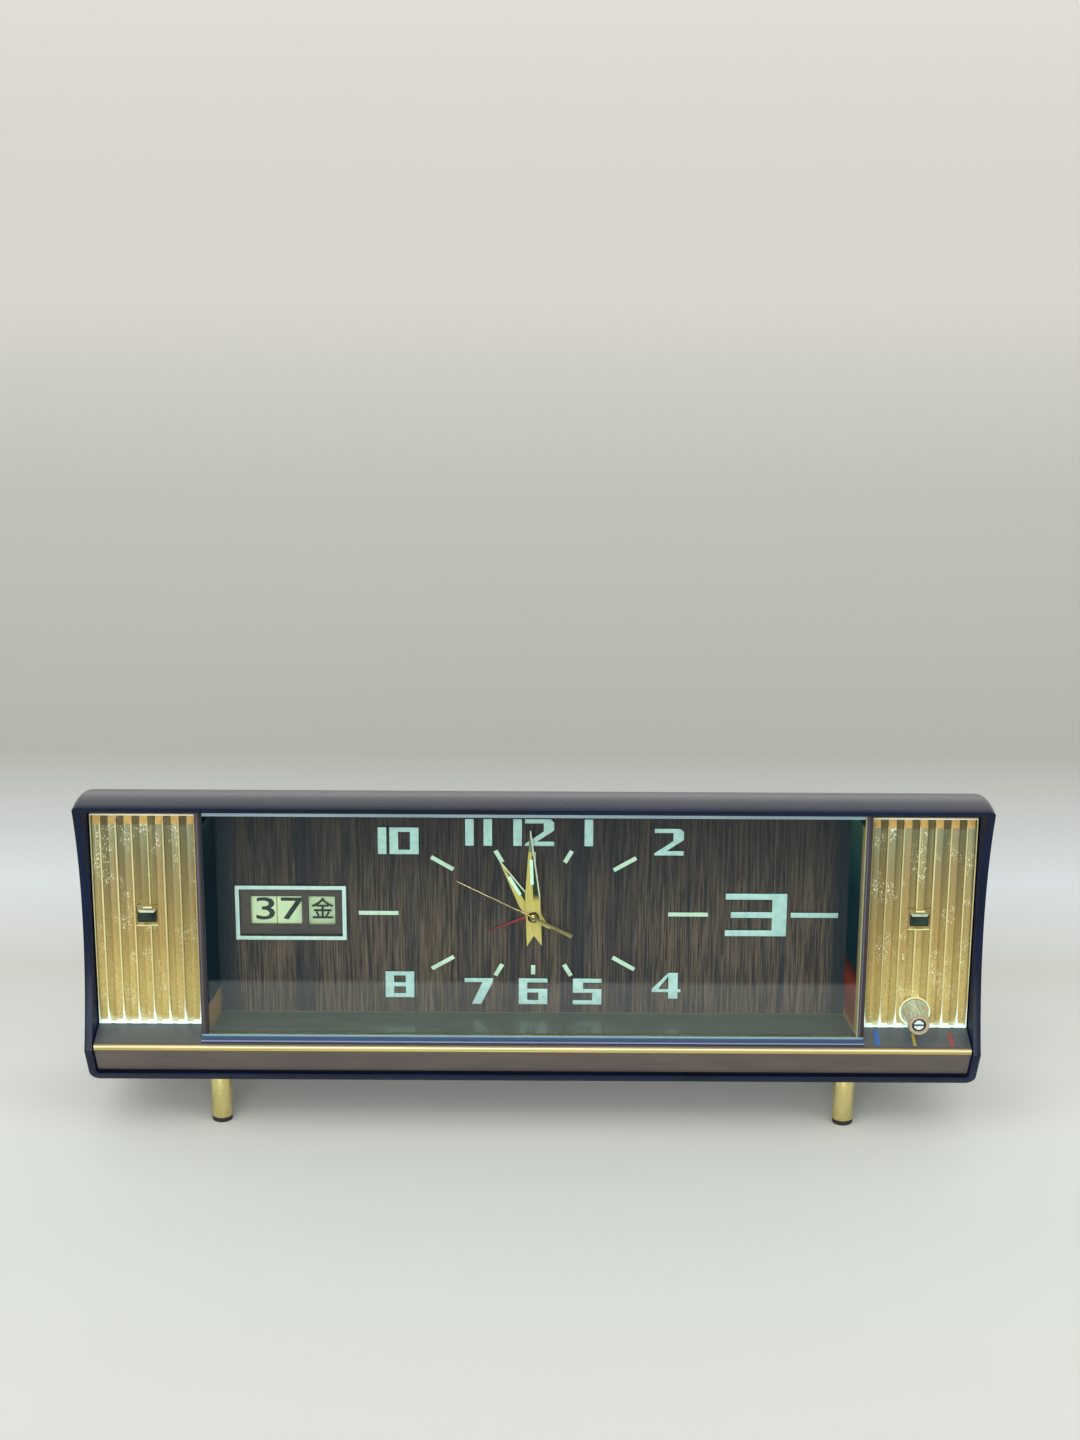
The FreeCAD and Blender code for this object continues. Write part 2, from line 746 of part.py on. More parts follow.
def fluted_panel(side, name):
    """A panel with upright ribs, with a notch for the ornament and, on the right, the knob's recess."""
    middle, half = "%d * %s" % (side, PANEL_MIDDLE), PANEL_HALF
    pitch = "(2 * %s - rib_width - 2 * panel_margin) / (rib_count - 1)" % half
    low = "sill_front + sill_rise"
    height = "panel_high - sill_front - sill_rise"
    back = box(name + "_back", "%s - %s" % (middle, half), "panel_face + panel_groove", low,
               "2 * %s" % half, "panel_back", height)
    ribs = []
    for number in range(int(mm("rib_count"))):
        ribs.append(box("%s_rib_%d" % (name, number),
                        "%s + (%d - (rib_count - 1) / 2) * %s - rib_width / 2" % (middle, number, pitch),
                        "panel_face", low, "rib_width", "panel_groove", height))
    notch = box(name + "_notch", "%s - ornament_width / 2 - glass_gap" % middle, "panel_face - 1",
                "ornament_level - ornament_height / 2 - glass_gap",
                "ornament_width + 2 * glass_gap", "1 + panel_groove", "ornament_height + 2 * glass_gap")
    tools = [notch]
    if side > 0:
        tools.append(rod(name + "_halo", SELECTOR_X, "0", "selector_level",
                         "selector_halo", "dial_depth"))
    return cut(name, fuse(name + "_ribbed", back, *ribs), *tools)


def fluted_panels():
    piece("fluted_panels", group("fluted_panels", fluted_panel(-1, "left_panel"),
                                 fluted_panel(1, "right_panel")))


def panel_ornaments():
    """Small faceted studs, one in the middle of each panel."""
    studs = []
    for side in (-1, 1):
        middle = "%d * %s" % (side, PANEL_MIDDLE)
        block = box("stud_block_%d" % len(studs), "%s - ornament_width / 2" % middle,
                    "panel_face + panel_groove - ornament_thick", "ornament_level - ornament_height / 2",
                    "ornament_width", "ornament_thick", "ornament_height")
        item = doc.addObject("Part::Chamfer", "stud_%d" % len(studs))
        item.Base = block
        doc.recompute()
        front = block.Shape.BoundBox.YMin
        edges = [number for number, edge in enumerate(block.Shape.Edges, start=1)
                 if edge.BoundBox.YMax < front + 0.01]
        item.Edges = [(number, mm("ornament_thick") / 2, mm("ornament_thick") / 2) for number in edges]
        studs.append(item)
    piece("panel_ornaments", group("panel_ornaments", *studs))


# ---------------------------------------------------------------- window

BEZEL_X = PANEL_INNER
TUNNEL_X = "opening_half + reflector_thick + tunnel_wall"


def window_bezel():
    """A frame with a lip in front and a seat for the glass behind it."""
    low = "opening_low - bezel_low"
    frame = box("bezel_block", "-" + BEZEL_X, "0", low, "2 * " + BEZEL_X, "bezel_lip + glass_thick",
                "opening_high + bezel_high - (%s)" % low)
    window = box("bezel_window", "-opening_half", "-1", "opening_low", "2 * opening_half",
                 "bezel_lip + 2", "opening_high - opening_low")
    seat = box("bezel_seat", "-opening_half - glass_land", "bezel_lip", "opening_low - glass_land",
               "2 * (opening_half + glass_land)", "glass_thick + 1",
               "opening_high - opening_low + 2 * glass_land")
    piece("window_bezel", cut("window_bezel", frame, window, seat))


def window_glass():
    land = "(glass_land - glass_gap)"
    piece("window_glass", plate_body(
        "window_glass", "-opening_half - " + land, "opening_low - " + land,
        "opening_half + " + land, "opening_high + " + land, "bezel_lip", "glass_thick"))


def tunnel_side(name, front, rear, cut_low, cut_high, rear_fall):
    """Side view of the sleeve between the glass and the dial: its ceiling falls to the back."""
    points = [at(front, cut_low), at(rear, cut_low), at(rear, cut_high - rear_fall), at(front, cut_high)]
    return outline(name, Part.makePolygon(points + points[:1]).Edges)


def dial_tunnel():
    front = mm("bezel_lip") + mm("glass_thick")
    wall = mm("tunnel_wall")
    outer = extrude("tunnel_block", tunnel_side(
        "tunnel_outline", front, mm("dial_depth"), mm("opening_low") - wall,
        mm("opening_high") + wall, mm("tunnel_fall")), TUNNEL_X)
    inner = extrude("tunnel_hollow", tunnel_side(
        "tunnel_hollow_outline", front - wall, mm("dial_depth") + wall, mm("opening_low"),
        mm("opening_high"), mm("tunnel_fall") + wall), "opening_half + reflector_thick")
    piece("dial_tunnel", cut("dial_tunnel", outer, inner))


def side_reflectors():
    """Bright plates on the side walls of the sleeve, leaning in towards the dial."""
    front, rear = mm("bezel_lip") + mm("glass_thick"), mm("dial_depth")
    low, high = mm("opening_low"), mm("opening_high") - mm("tunnel_fall") - mm("tunnel_wall")
    face = mm("opening_half")
    wall = face + mm("reflector_thick")
    plates = []
    for side in (-1, 1):
        corners = [(wall, front), (wall, rear), (face - mm("reflector_slant"), rear), (face, front)]
        points = [Vector(side * x, depth, low) for x, depth in corners[::side]]
        plates.append(Part.Face(Part.makePolygon(points + points[:1])).extrude(Vector(0, 0, high - low)))
    piece("side_reflectors", drawn("side_reflectors", Part.makeCompound(plates)))


def dial_plate():
    border = "surround_border"
    window = ("surround_left + " + border, "dial_level - surround_half + " + border,
              "surround_right - " + border, "dial_level + surround_half - " + border)
    piece("dial_plate", plate_body(
        "dial_plate", "-(%s)" % TUNNEL_X, "opening_low - tunnel_wall", TUNNEL_X,
        "opening_high + tunnel_wall - tunnel_fall", "dial_depth", "dial_thick",
        [("0", "dial_level", "dial_bore")], [window]))


# Each numeral is a few flat strokes in a unit square, as (x, z) corners.
def block_stroke(left, low, right, high):
    return [(left, low), (right, low), (right, high), (left, high)]


STROKES = {
    "0": [block_stroke(0, 0, 0.3, 1), block_stroke(0.7, 0, 1, 1),
          block_stroke(0.3, 0, 0.7, 0.17), block_stroke(0.3, 0.83, 0.7, 1)],
    "1": [block_stroke(0, 0, 1, 1)],
    "2": [[(0, 1), (0.88, 1), (1, 0.88), (1, 0.58), (0.42, 0.17), (1, 0.17), (1, 0), (0, 0),
           (0, 0.08), (0.64, 0.54), (0.64, 0.84), (0, 0.84)]],
    "3": [block_stroke(0, 0.86, 0.76, 1), block_stroke(0.09, 0.43, 0.76, 0.57),
          block_stroke(0, 0, 0.76, 0.14), block_stroke(0.76, 0, 1, 1)],
    "4": [block_stroke(0.57, 0, 0.9, 1), block_stroke(0, 0.25, 1, 0.37),
          [(0, 0.37), (0.22, 0.37), (0.57, 0.86), (0.57, 1)]],
    "5": [block_stroke(0, 0.84, 1, 1), block_stroke(0, 0.45, 0.36, 0.84),
          block_stroke(0.36, 0.45, 0.68, 0.6), block_stroke(0.68, 0, 1, 0.6), block_stroke(0, 0, 0.68, 0.16)],
    "6": [block_stroke(0, 0, 0.3, 1), block_stroke(0.3, 0.84, 1, 1), block_stroke(0.3, 0, 0.68, 0.16),
          block_stroke(0.68, 0, 1, 0.6), block_stroke(0.3, 0.45, 0.68, 0.6)],
    "7": [[(0, 1), (1, 1), (0.97, 0.8), (0.58, 0), (0.25, 0), (0.62, 0.84), (0, 0.84)]],
    "8": [block_stroke(0, 0, 0.3, 1), block_stroke(0.7, 0, 1, 1), block_stroke(0.3, 0, 0.7, 0.16),
          block_stroke(0.3, 0.84, 0.7, 1), block_stroke(0.3, 0.42, 0.7, 0.58)],
}


def numeral(sign, left, low, width, height, depth, thick):
    """One numeral as a single flat solid, its lower left corner at left, low."""
    strokes = []
    for corners in STROKES[sign]:
        placed = [(left + width * x, low + height * z) for x, z in corners]
        strokes.append(polygon_solid(placed, depth, thick))
    whole = strokes[0]
    for stroke in strokes[1:]:
        whole = whole.fuse(stroke)
    return whole.removeSplitter()


def sign_width(sign):
    return mm("one_width") if sign == "1" else mm("numeral_width")


def number_solids(number, middle_x, middle_z):
    """The digits of an hour, centred on a place on the dial."""
    signs = str(number)
    gap = mm("eleven_gap") if signs == "11" else mm("one_gap")
    total = sum(sign_width(sign) for sign in signs) + gap * (len(signs) - 1)
    left = middle_x - total / 2
    solids = []
    for sign in signs:
        solids.append(numeral(sign, left, middle_z - mm("numeral_height") / 2, sign_width(sign),
                              mm("numeral_height"), mm("dial_depth") - mm("numeral_thick"),
                              mm("numeral_thick")))
        left += sign_width(sign) + gap
    return solids


def dial_numerals():
    level = mm("dial_level")
    near, far = mm("column_near"), mm("column_far")
    high, low, side = mm("row_high"), mm("row_low"), mm("row_side")
    places = {12: (0, high), 1: (near, high), 11: (-near, high), 2: (far, side), 10: (-far, side),
              4: (far, -side), 8: (-far, -side), 5: (near, -low), 7: (-near, -low), 6: (0, -low)}
    solids = []
    for number, (x, z) in places.items():
        solids += number_solids(number, x, level + z)
    front = mm("dial_depth") - mm("numeral_thick")
    solids.append(numeral("3", mm("big_three_middle") - mm("big_three_width") / 2,
                          level - mm("big_three_height") / 2, mm("big_three_width"),
                          mm("big_three_height"), front, mm("numeral_thick")))
    half = mm("three_bar_width") / 2
    bar_corners = block_stroke(mm("three_bar_start"), level - half, mm("three_bar_end"), level + half)
    solids.append(polygon_solid(bar_corners, front, mm("numeral_thick")))
    piece("dial_numerals", drawn("dial_numerals", Part.makeCompound(solids)))


def hour_markers():
    """Raised bars round the hands, one for each hour."""
    rays = {0: ("six_inner", "six_outer"), 90: ("long_start", "long_end"),
            180: ("six_inner", "six_outer"), 270: ("long_start", "long_end")}
    side, near = mm("marker_side_angle"), mm("marker_near_angle")
    for slope, ends in ((side, ("side_inner", "side_outer")), (near, ("near_inner", "near_outer"))):
        for angle in (90 - slope, 90 + slope, 270 - slope, 270 + slope):
            rays[angle] = ends
    thick = mm("marker_thick")
    half = mm("marker_width") / 2
    bars = []
    for angle, (inner, outer) in rays.items():
        corners = block_stroke(-half, mm("marker_" + inner), half, mm("marker_" + outer))
        solid = polygon_solid(corners, mm("dial_depth") - thick, thick)
        solid.rotate(Vector(0, 0, 0), Vector(0, 1, 0), angle)
        solid.translate(Vector(0, 0, mm("dial_level")))
        bars.append(solid)
    piece("hour_markers", drawn("hour_markers", Part.makeCompound(bars)))


# ---------------------------------------------------------------- gears

# Proportions of a tooth: its height over and under the pitch circle in modules, and half
# its width at the tip and the root as a share of the pitch.
TOOTH_RISE = 0.75
TOOTH_FALL = 1.0
TIP_SHARE = 0.11
ROOT_SHARE = 0.25


def gear(module, teeth, phase, depth, thick, bore, x=0.0, z=0.0):
    """A flat gear with straight-sided teeth, one tooth pointing at the phase angle."""
    pitch_radius = module * teeth / 2
    tip = pitch_radius + TOOTH_RISE * module
    root = pitch_radius - TOOTH_FALL * module
    step = 2 * math.pi / teeth
    tip_half = TIP_SHARE * step
    root_half = ROOT_SHARE * step
    points = []
    for tooth in range(teeth):
        middle = phase + tooth * step
        for radius, angle in ((root, middle - root_half), (tip, middle - tip_half),
                              (tip, middle + tip_half), (root, middle + root_half)):
            points.append(Vector(x + radius * math.cos(angle), depth, z + radius * math.sin(angle)))
    solid = Part.Face(Part.makePolygon(points + points[:1])).extrude(Vector(0, thick, 0))
    if bore:
        solid = solid.cut(bar(depth - thick, 3 * thick, bore, x, z))
    return solid


def mesh_phase(direction, phase, teeth, other_teeth):
    """The phase of a gear that meets another one, which lies behind it in this direction."""
    return direction + math.pi + math.pi / other_teeth - (phase - direction) * teeth / other_teeth


def polar(x, z, reach, angle):
    return x + reach * math.cos(angle), z + reach * math.sin(angle)


def joined(solids):
    whole = solids[0]
    for solid in solids[1:]:
        whole = whole.fuse(solid)
    return whole.removeSplitter()


# ---------------------------------------------------------------- places of the wheels

def centre():
    return 0.0, mm("dial_level")


def motion_reach():
    return mm("motion_module") * (mm("cannon_teeth") + mm("minute_wheel_teeth")) / 2


def minute_place():
    return polar(*centre(), motion_reach(), 0.0)


def set_place():
    return polar(*centre(), 2 * motion_reach(), 0.0)


def alarm_set_place():
    reach = mm("motion_module") * (mm("alarm_wheel_teeth") + mm("alarm_pinion_teeth")) / 2
    return polar(*centre(), reach, math.radians(mm("alarm_pinion_angle")))


def barrel_place():
    reach = mm("great_module") * (mm("great_teeth") + mm("centre_pinion_teeth")) / 2
    return polar(*centre(), reach, math.radians(mm("barrel_angle")))


def third_reach():
    return mm("motion_module") * (mm("centre_teeth") + mm("third_pinion_teeth")) / 2


def third_place():
    return polar(*centre(), third_reach(), math.pi)


def escape_place():
    reach = mm("fourth_module") * (mm("fourth_teeth") + mm("escape_pinion_teeth")) / 2
    return polar(*centre(), reach, math.radians(mm("escape_angle")))


def escape_line():
    """Direction from the escape wheel to the pallet arbor and the balance staff."""
    return math.radians(180 - mm("escape_line_angle"))


def pallet_place():
    return polar(*escape_place(), mm("escape_radius") + mm("pallet_reach"), escape_line())


def balance_place():
    return polar(*escape_place(), mm("balance_reach"), escape_line())


def alarm_barrel_place():
    return mm("alarm_barrel_x"), mm("dial_level") - mm("alarm_barrel_drop")


def bell_place():
    return mm("bell_x"), mm("dial_level") + mm("bell_rise")


def hammer_place():
    return mm("hammer_x"), mm("dial_level") + mm("hammer_rise")


def music_key_place():
    return mm("music_key_x"), mm("music_level")


def lever_tab():
    x, z = balance_place()
    return x, z - mm("regulator_drop")


def stem_places():
    return [set_place(), alarm_set_place()]


def key_places():
    return [barrel_place(), alarm_barrel_place(), music_key_place()]


# ---------------------------------------------------------------- hands

def tube_radii(level):
    """Inner and outer radius of the nested tubes: 0 centre, 1 minute, 2 hour, 3 alarm."""
    step = mm("tube_step") + mm("tube_gap")
    inner = mm("seconds_radius") + mm("tube_gap") + level * step
    return inner, inner + mm("tube_step")


def tube(level, front, rear):
    inner, outer = tube_radii(level)
    x, z = centre()
    return bar(front, rear - front, outer, x, z).cut(bar(front - 1, rear - front + 2, inner, x, z))


def hand(corners, depth, rest, bore, hub):
    """A flat hand, drawn pointing up from 0, 0 and turned clockwise to its place at rest."""
    solid = polygon_solid(corners, depth, mm("hand_thick"))
    solid = solid.fuse(bar(depth, mm("hand_thick"), hub)).removeSplitter()
    if bore:
        solid = solid.cut(bar(depth - 1, mm("hand_thick") + 2, bore))
    solid.rotate(Vector(0, 0, 0), Vector(0, 1, 0), rest)
    solid.translate(Vector(0, 0, mm("dial_level")))
    return solid


def swallow_hand(name):
    """The minute and hour hands: a long point in front and a forked tail behind."""
    half = mm(name + "_width") / 2
    length, tail = mm(name + "_length"), mm(name + "_tail")
    tip = mm("hand_tip") / 2
    return [(-half, -tail), (0, mm("minute_notch") - tail), (half, -tail), (half, length / 4),
            (tip, length), (-tip, length), (-half, length / 4)]


def hands():
    fit = mm("pivot_gap") / 2
    for level, name in ((1, "minute"), (2, "hour")):
        solid = hand(swallow_hand(name), mm(name + "_depth"), mm(name + "_angle"),
                     tube_radii(level)[1] + fit, mm("hub_radius") + mm("hub_step") * (level - 1))
        piece(name + "_hand", drawn(name + "_hand", solid))
    half, tip = mm("second_width") / 2, mm("hand_tip") / 4
    tail_half, tail = mm("second_tail_width") / 2, mm("second_tail")
    corners = [(-tail_half, -tail), (tail_half, -tail), (tail_half / 2, 0), (half, 0),
               (tip, mm("second_length")), (-tip, mm("second_length")), (-half, 0), (-tail_half / 2, 0)]
    solid = hand(corners, mm("second_depth"), mm("second_angle"), 0, mm("cap_radius"))
    cap = bar(mm("second_depth") - 2 * mm("hand_thick"), 2 * mm("hand_thick"),
              mm("cap_radius") * 0.8, *centre())
    piece("second_hand", drawn("second_hand", joined([solid, cap])))
    half = mm("alarm_width") / 2
    corners = [(-half, 0), (half, 0), (tip, mm("alarm_length")), (-tip, mm("alarm_length"))]
    solid = hand(corners, mm("alarm_depth"), mm("alarm_angle"),
                 tube_radii(3)[1] + fit, tube_radii(3)[1] + 2 * mm("tube_step"))
    piece("alarm_hand", drawn("alarm_hand", solid))


# ---------------------------------------------------------------- hand-setting wheels

def motion_planes():
    """Front depth of the three layers of wheels between the dial and the front plate."""
    gap, thick = mm("motion_gap"), mm("wheel_thick")
    alarm = mm("dial_depth") + mm("dial_thick") + gap
    hour = alarm + thick + gap
    cannon = hour + thick + gap + mm("pinion_gap")
    return alarm, hour, cannon


def motion_work():
    alarm, hour, cannon = motion_planes()
    thick, module = mm("wheel_thick"), mm("motion_module")
    x, z = centre()
    solid = gear(module, int(mm("cannon_teeth")), 0.0, cannon, thick, tube_radii(1)[0], x, z)
    sleeve = tube(1, mm("minute_depth"), cannon + thick)
    piece("cannon_pinion", drawn("cannon_pinion", joined([solid, sleeve])))

    wheel_teeth, pinion_teeth = int(mm("minute_wheel_teeth")), int(mm("minute_pinion_teeth"))
    wheel_phase = mesh_phase(0.0, 0.0, mm("cannon_teeth"), wheel_teeth)
    stud = mm("arbor_radius")
    minute_x, minute_z = minute_place()
    wheel = gear(module, wheel_teeth, wheel_phase, cannon, thick,
                 stud + mm("pivot_gap"), minute_x, minute_z)
    pinion = gear(mm("hour_module"), pinion_teeth, math.pi, hour, cannon - hour,
                  stud + mm("pivot_gap"), minute_x, minute_z)
    piece("minute_wheel", drawn("minute_wheel", joined([wheel, pinion])))

    hour_teeth = int(mm("hour_wheel_teeth"))
    solid = gear(mm("hour_module"), hour_teeth, mesh_phase(math.pi, math.pi, pinion_teeth, hour_teeth),
                 hour, thick, tube_radii(2)[0], x, z)
    piece("hour_wheel", drawn("hour_wheel", joined([solid, tube(2, mm("hour_depth"), hour + thick)])))

    solid = gear(module, int(mm("alarm_wheel_teeth")), math.radians(mm("alarm_pinion_angle")),
                 alarm, thick, tube_radii(3)[0], x, z)
    piece("alarm_wheel", drawn("alarm_wheel", joined([solid, tube(3, mm("alarm_depth"), alarm + thick)])))

    set_phase = mesh_phase(0.0, wheel_phase, wheel_teeth, mm("cannon_teeth"))
    setting_knob("time_set_knob", int(mm("cannon_teeth")), set_phase, cannon,
                 mm("set_knob_radius"), *set_place())
    direction = math.radians(mm("alarm_pinion_angle"))
    pinion_teeth = int(mm("alarm_pinion_teeth"))
    alarm_phase = mesh_phase(direction, direction, mm("alarm_wheel_teeth"), pinion_teeth)
    setting_knob("alarm_set_knob", pinion_teeth, alarm_phase, alarm,
                 mm("alarm_knob_radius"), *alarm_set_place())


def setting_knob(name, teeth, phase, depth, radius, x, z):
    """A pinion on a long stem that comes out of the cover, with a knob pressed on it."""
    knob_depth = mm("rear_face") + mm("cover_thick") + mm("knob_gap")
    pinion = gear(mm("motion_module"), teeth, phase, depth, mm("wheel_thick"), 0, x, z)
    stem = bar(depth, knob_depth + mm("set_knob_thick") / 2 - depth, mm("stem_radius"), x, z)
    knob = knurled_knob(radius, knob_depth, x, z)
    piece(name, drawn(name, Part.makeCompound([joined([pinion, stem]), knob])))


def knurled_knob(radius, depth, x, z):
    """A knob with grip flutes, bored for its stem."""
    thick = mm("set_knob_thick")
    flutes = int(mm("knob_flutes"))
    solid = bar(depth, thick, radius, x, z)
    for number in range(flutes):
        flute_x, flute_z = polar(x, z, radius + mm("flute_offset"), 2 * math.pi * number / flutes)
        solid = solid.cut(bar(depth - 1, thick + 2, mm("flute_radius"), flute_x, flute_z))
    return solid.cut(bar(depth - 1, 1 + thick / 2, mm("stem_radius") + mm("pivot_gap") / 2, x, z))


# ---------------------------------------------------------------- movement

def pivot_ends():
    """Front and rear end of an arbor that runs between the plates."""
    return (mm("front_plate_depth") + mm("pivot_recess"),
            mm("back_plate_depth") + mm("plate_thick") - mm("pivot_recess"))


def arbor(place_xz):
    front, rear = pivot_ends()
    return bar(front, rear - front, mm("arbor_radius"), *place_xz)


def train_planes():
    """Front depth of the centre, great, escape, third and fourth wheels."""
    step = mm("wheel_thick") + mm("train_gap")
    centre_depth = mm("front_plate_depth") + mm("plate_thick") + mm("train_gap")
    fourth = mm("back_plate_depth") - step
    return centre_depth, centre_depth + step, fourth - 2 * step, fourth - step, fourth


def plates_and_pillars():
    gap = " + pivot_gap"
    pivots = [third_place(), escape_place(), balance_place(), pallet_place(), hammer_place()]
    keys = [barrel_place(), alarm_barrel_place()]
    pillar_x = ("-(plate_half_width - pillar_inset)", "plate_half_width - pillar_inset")
    pillar_z = ("dial_level - plate_half_height + pillar_inset",
                "dial_level + plate_half_height - pillar_inset")
    shared = [(str(x), str(z), "arbor_radius" + gap) for x, z in pivots]
    shared += [(str(x), str(z), "key_shaft" + gap) for x, z in keys]
    shared += [(str(x), str(z), "stem_radius" + gap) for x, z in stem_places()]
    shared += [(x, z, "pillar_spigot" + gap) for x in pillar_x for z in pillar_z]
    tube_outer = "seconds_radius + tube_gap + tube_step"
    corners = ("-plate_half_width", "dial_level - plate_half_height",
               "plate_half_width", "dial_level + plate_half_height")
    plate = plate_body("pierced_plate", *corners, "front_plate_depth", "plate_thick",
                       [("0", "dial_level", tube_outer + gap)] + shared)
    alarm, hour, cannon = motion_planes()
    stud = drawn("minute_wheel_stud",
                 bar(hour, mm("front_plate_depth") - hour, mm("arbor_radius"), *minute_place()))
    piece("front_plate", group("front_plate", plate, stud))
    piece("back_plate", plate_body("back_plate", *corners, "back_plate_depth", "plate_thick",
                                   [("0", "dial_level", "seconds_radius" + gap)] + shared))
    pillars = []
    dial_rear = "dial_depth + dial_thick"
    for x in pillar_x:
        for z in pillar_z:
            number = len(pillars)
            spacer = rod("pillar_spacer_%d" % number, x, dial_rear, z, "pillar_radius",
                         "front_plate_depth - dial_depth - dial_thick")
            middle = rod("pillar_middle_%d" % number, x, "front_plate_depth + plate_thick", z,
                         "pillar_radius", "back_plate_depth - front_plate_depth - plate_thick")
            spigot = rod("pillar_spigot_%d" % number, x, dial_rear, z, "pillar_spigot",
                         "back_plate_depth + plate_thick - dial_depth - dial_thick")
            pillars.append(fuse("pillar_%d" % number, spacer, middle, spigot))
    piece("movement_pillars", group("movement_pillars", *pillars))


def pinion_on(wheel_module, teeth, phase, depth, bore, x, z):
    """A pinion a little longer than the wheel that it meets."""
    slack = mm("pinion_slack")
    return gear(wheel_module, teeth, phase, depth - slack, mm("wheel_thick") + 2 * slack, bore, x, z)


def going_train():
    """Barrel, centre, third, fourth and escape wheels, each with its pinion."""
    thick, gap = mm("wheel_thick"), mm("train_gap")
    module, great = mm("motion_module"), mm("great_module")
    centre_depth, great_depth, escape_depth, third_depth, fourth_depth = train_planes()

    angle = math.radians(mm("barrel_angle"))
    x, z = centre()
    pinion_teeth, great_teeth = int(mm("centre_pinion_teeth")), int(mm("great_teeth"))
    inner = tube_radii(0)[0]
    wheel = gear(module, int(mm("centre_teeth")), math.pi, centre_depth, thick, inner, x, z)
    pinion = pinion_on(great, pinion_teeth, angle, great_depth, inner, x, z)
    sleeve = tube(0, mm("dial_depth") + mm("dial_thick"), escape_depth - gap)
    piece("centre_wheel", drawn("centre_wheel", joined([wheel, pinion, sleeve])))

    barrel_x, barrel_z = barrel_place()
    wheel = gear(great, great_teeth, mesh_phase(angle, angle, pinion_teeth, great_teeth),
                 great_depth, thick, 0, barrel_x, barrel_z)
    drum = bar(great_depth + thick, escape_depth - gap - great_depth - thick,
               mm("barrel_radius"), barrel_x, barrel_z)
    piece("time_barrel", drawn("time_barrel", bored([wheel, drum], great_depth, barrel_x, barrel_z)))

    third_module = 2 * third_reach() / (mm("third_teeth") + mm("fourth_pinion_teeth"))
    third_x, third_z = third_place()
    third_teeth, fourth_pinion = int(mm("third_teeth")), int(mm("fourth_pinion_teeth"))
    third_pinion = int(mm("third_pinion_teeth"))
    phase = mesh_phase(math.pi, math.pi, mm("centre_teeth"), third_pinion)
    pinion = pinion_on(module, third_pinion, phase, centre_depth, 0, third_x, third_z)
    wheel = gear(third_module, third_teeth, 0.0, third_depth, thick, 0, third_x, third_z)
    piece("third_wheel", drawn("third_wheel", joined([pinion, wheel, arbor(third_place())])))

    phase = mesh_phase(0.0, 0.0, third_teeth, fourth_pinion)
    pinion = pinion_on(third_module, fourth_pinion, phase, third_depth, 0, x, z)
    direction = math.radians(mm("escape_angle"))
    fourth_teeth, escape_pinion = int(mm("fourth_teeth")), int(mm("escape_pinion_teeth"))
    wheel = gear(mm("fourth_module"), fourth_teeth, direction, fourth_depth, thick, 0, x, z)
    second = mm("second_depth") + mm("hand_thick")
    seconds_arbor = bar(second, pivot_ends()[1] - second, mm("seconds_radius"), x, z)
    piece("fourth_wheel", drawn("fourth_wheel", joined([pinion, wheel, seconds_arbor])))

    phase = mesh_phase(direction, direction, fourth_teeth, escape_pinion)
    pinion = pinion_on(mm("fourth_module"), escape_pinion, phase, fourth_depth, 0, *escape_place())
    wheel = polygon_solid(ratchet_points(), escape_depth, thick)
    piece("escape_wheel", drawn("escape_wheel", joined([pinion, wheel, arbor(escape_place())])))


def bored(solids, depth, x, z):
    """A barrel's solids in one, bored for the key's arbor."""
    bore = mm("key_shaft") + mm("pivot_gap")
    return joined(solids).cut(bar(depth - 1, mm("rear_face"), bore, x, z))


def ratchet_points():
    """The escape wheel's outline, each tooth leaning forward."""
    points = []
    step = 2 * math.pi / mm("escape_teeth")
    for tooth in range(int(mm("escape_teeth"))):
        for radius, share in ((0.72, 0.0), (1.0, 0.45), (1.0, 0.6), (0.72, 0.62)):
            points.append(polar(*escape_place(), radius * mm("escape_radius"), (tooth + share) * step))
    return points


def escapement():
    """The pallet lever and the balance wheel with its hairspring."""
    thick, escape_depth = mm("wheel_thick"), train_planes()[2]
    tail, claw = mm("lever_tail"), mm("lever_claw")
    x, z = pallet_place()
    upper = [(-tail, claw / 10), (-claw / 6, claw / 5), (claw / 3, claw + 0.3), (0.6 * claw, claw),
             (0.65 * claw, 0.9 * claw), (claw / 4, claw / 2), (claw / 5, 0)]
    lever = upper + [(along, -across) for along, across in upper[-2::-1]]
    solid = polygon_solid([(x + along, z + across) for along, across in lever], escape_depth, thick)
    solid.rotate(Vector(x, 0, z), Vector(0, 1, 0), mm("escape_line_angle"))
    piece("pallet_lever", drawn("pallet_lever", joined([solid, arbor(pallet_place())])))

    x, z = balance_place()
    depth, radius, rim = mm("balance_depth"), mm("balance_radius"), mm("balance_rim")
    ring = bar(depth, thick, radius, x, z).cut(bar(depth - 1, thick + 2, radius - rim, x, z))
    reach, half = radius - rim / 2, mm("balance_spoke") / 2
    spoke = polygon_solid(block_stroke(x - reach, z - half, x + reach, z + half), depth, thick)
    wheel = joined([ring, spoke, arbor(balance_place())])
    spring = spiral(balance_place(), mm("arbor_radius") + mm("pivot_gap"), mm("spring_reach"),
                    depth + thick + mm("spring_gap"))
    piece("balance_wheel", drawn("balance_wheel", Part.makeCompound([wheel, spring])))


def spiral(middle, inner, outer, depth):
    """A flat spiral strip, the hairspring."""
    steps = 16
    last = int(mm("spring_turns")) * steps
    outside, inside = [], []
    for number in range(last + 1):
        angle = 2 * math.pi * number / steps
        radius = inner + (outer - inner) * number / last
        outside.append(polar(*middle, radius + mm("spring_strip"), angle))
        inside.append(polar(*middle, radius, angle))
    return polygon_solid(outside + inside[::-1], depth, mm("spring_height"))


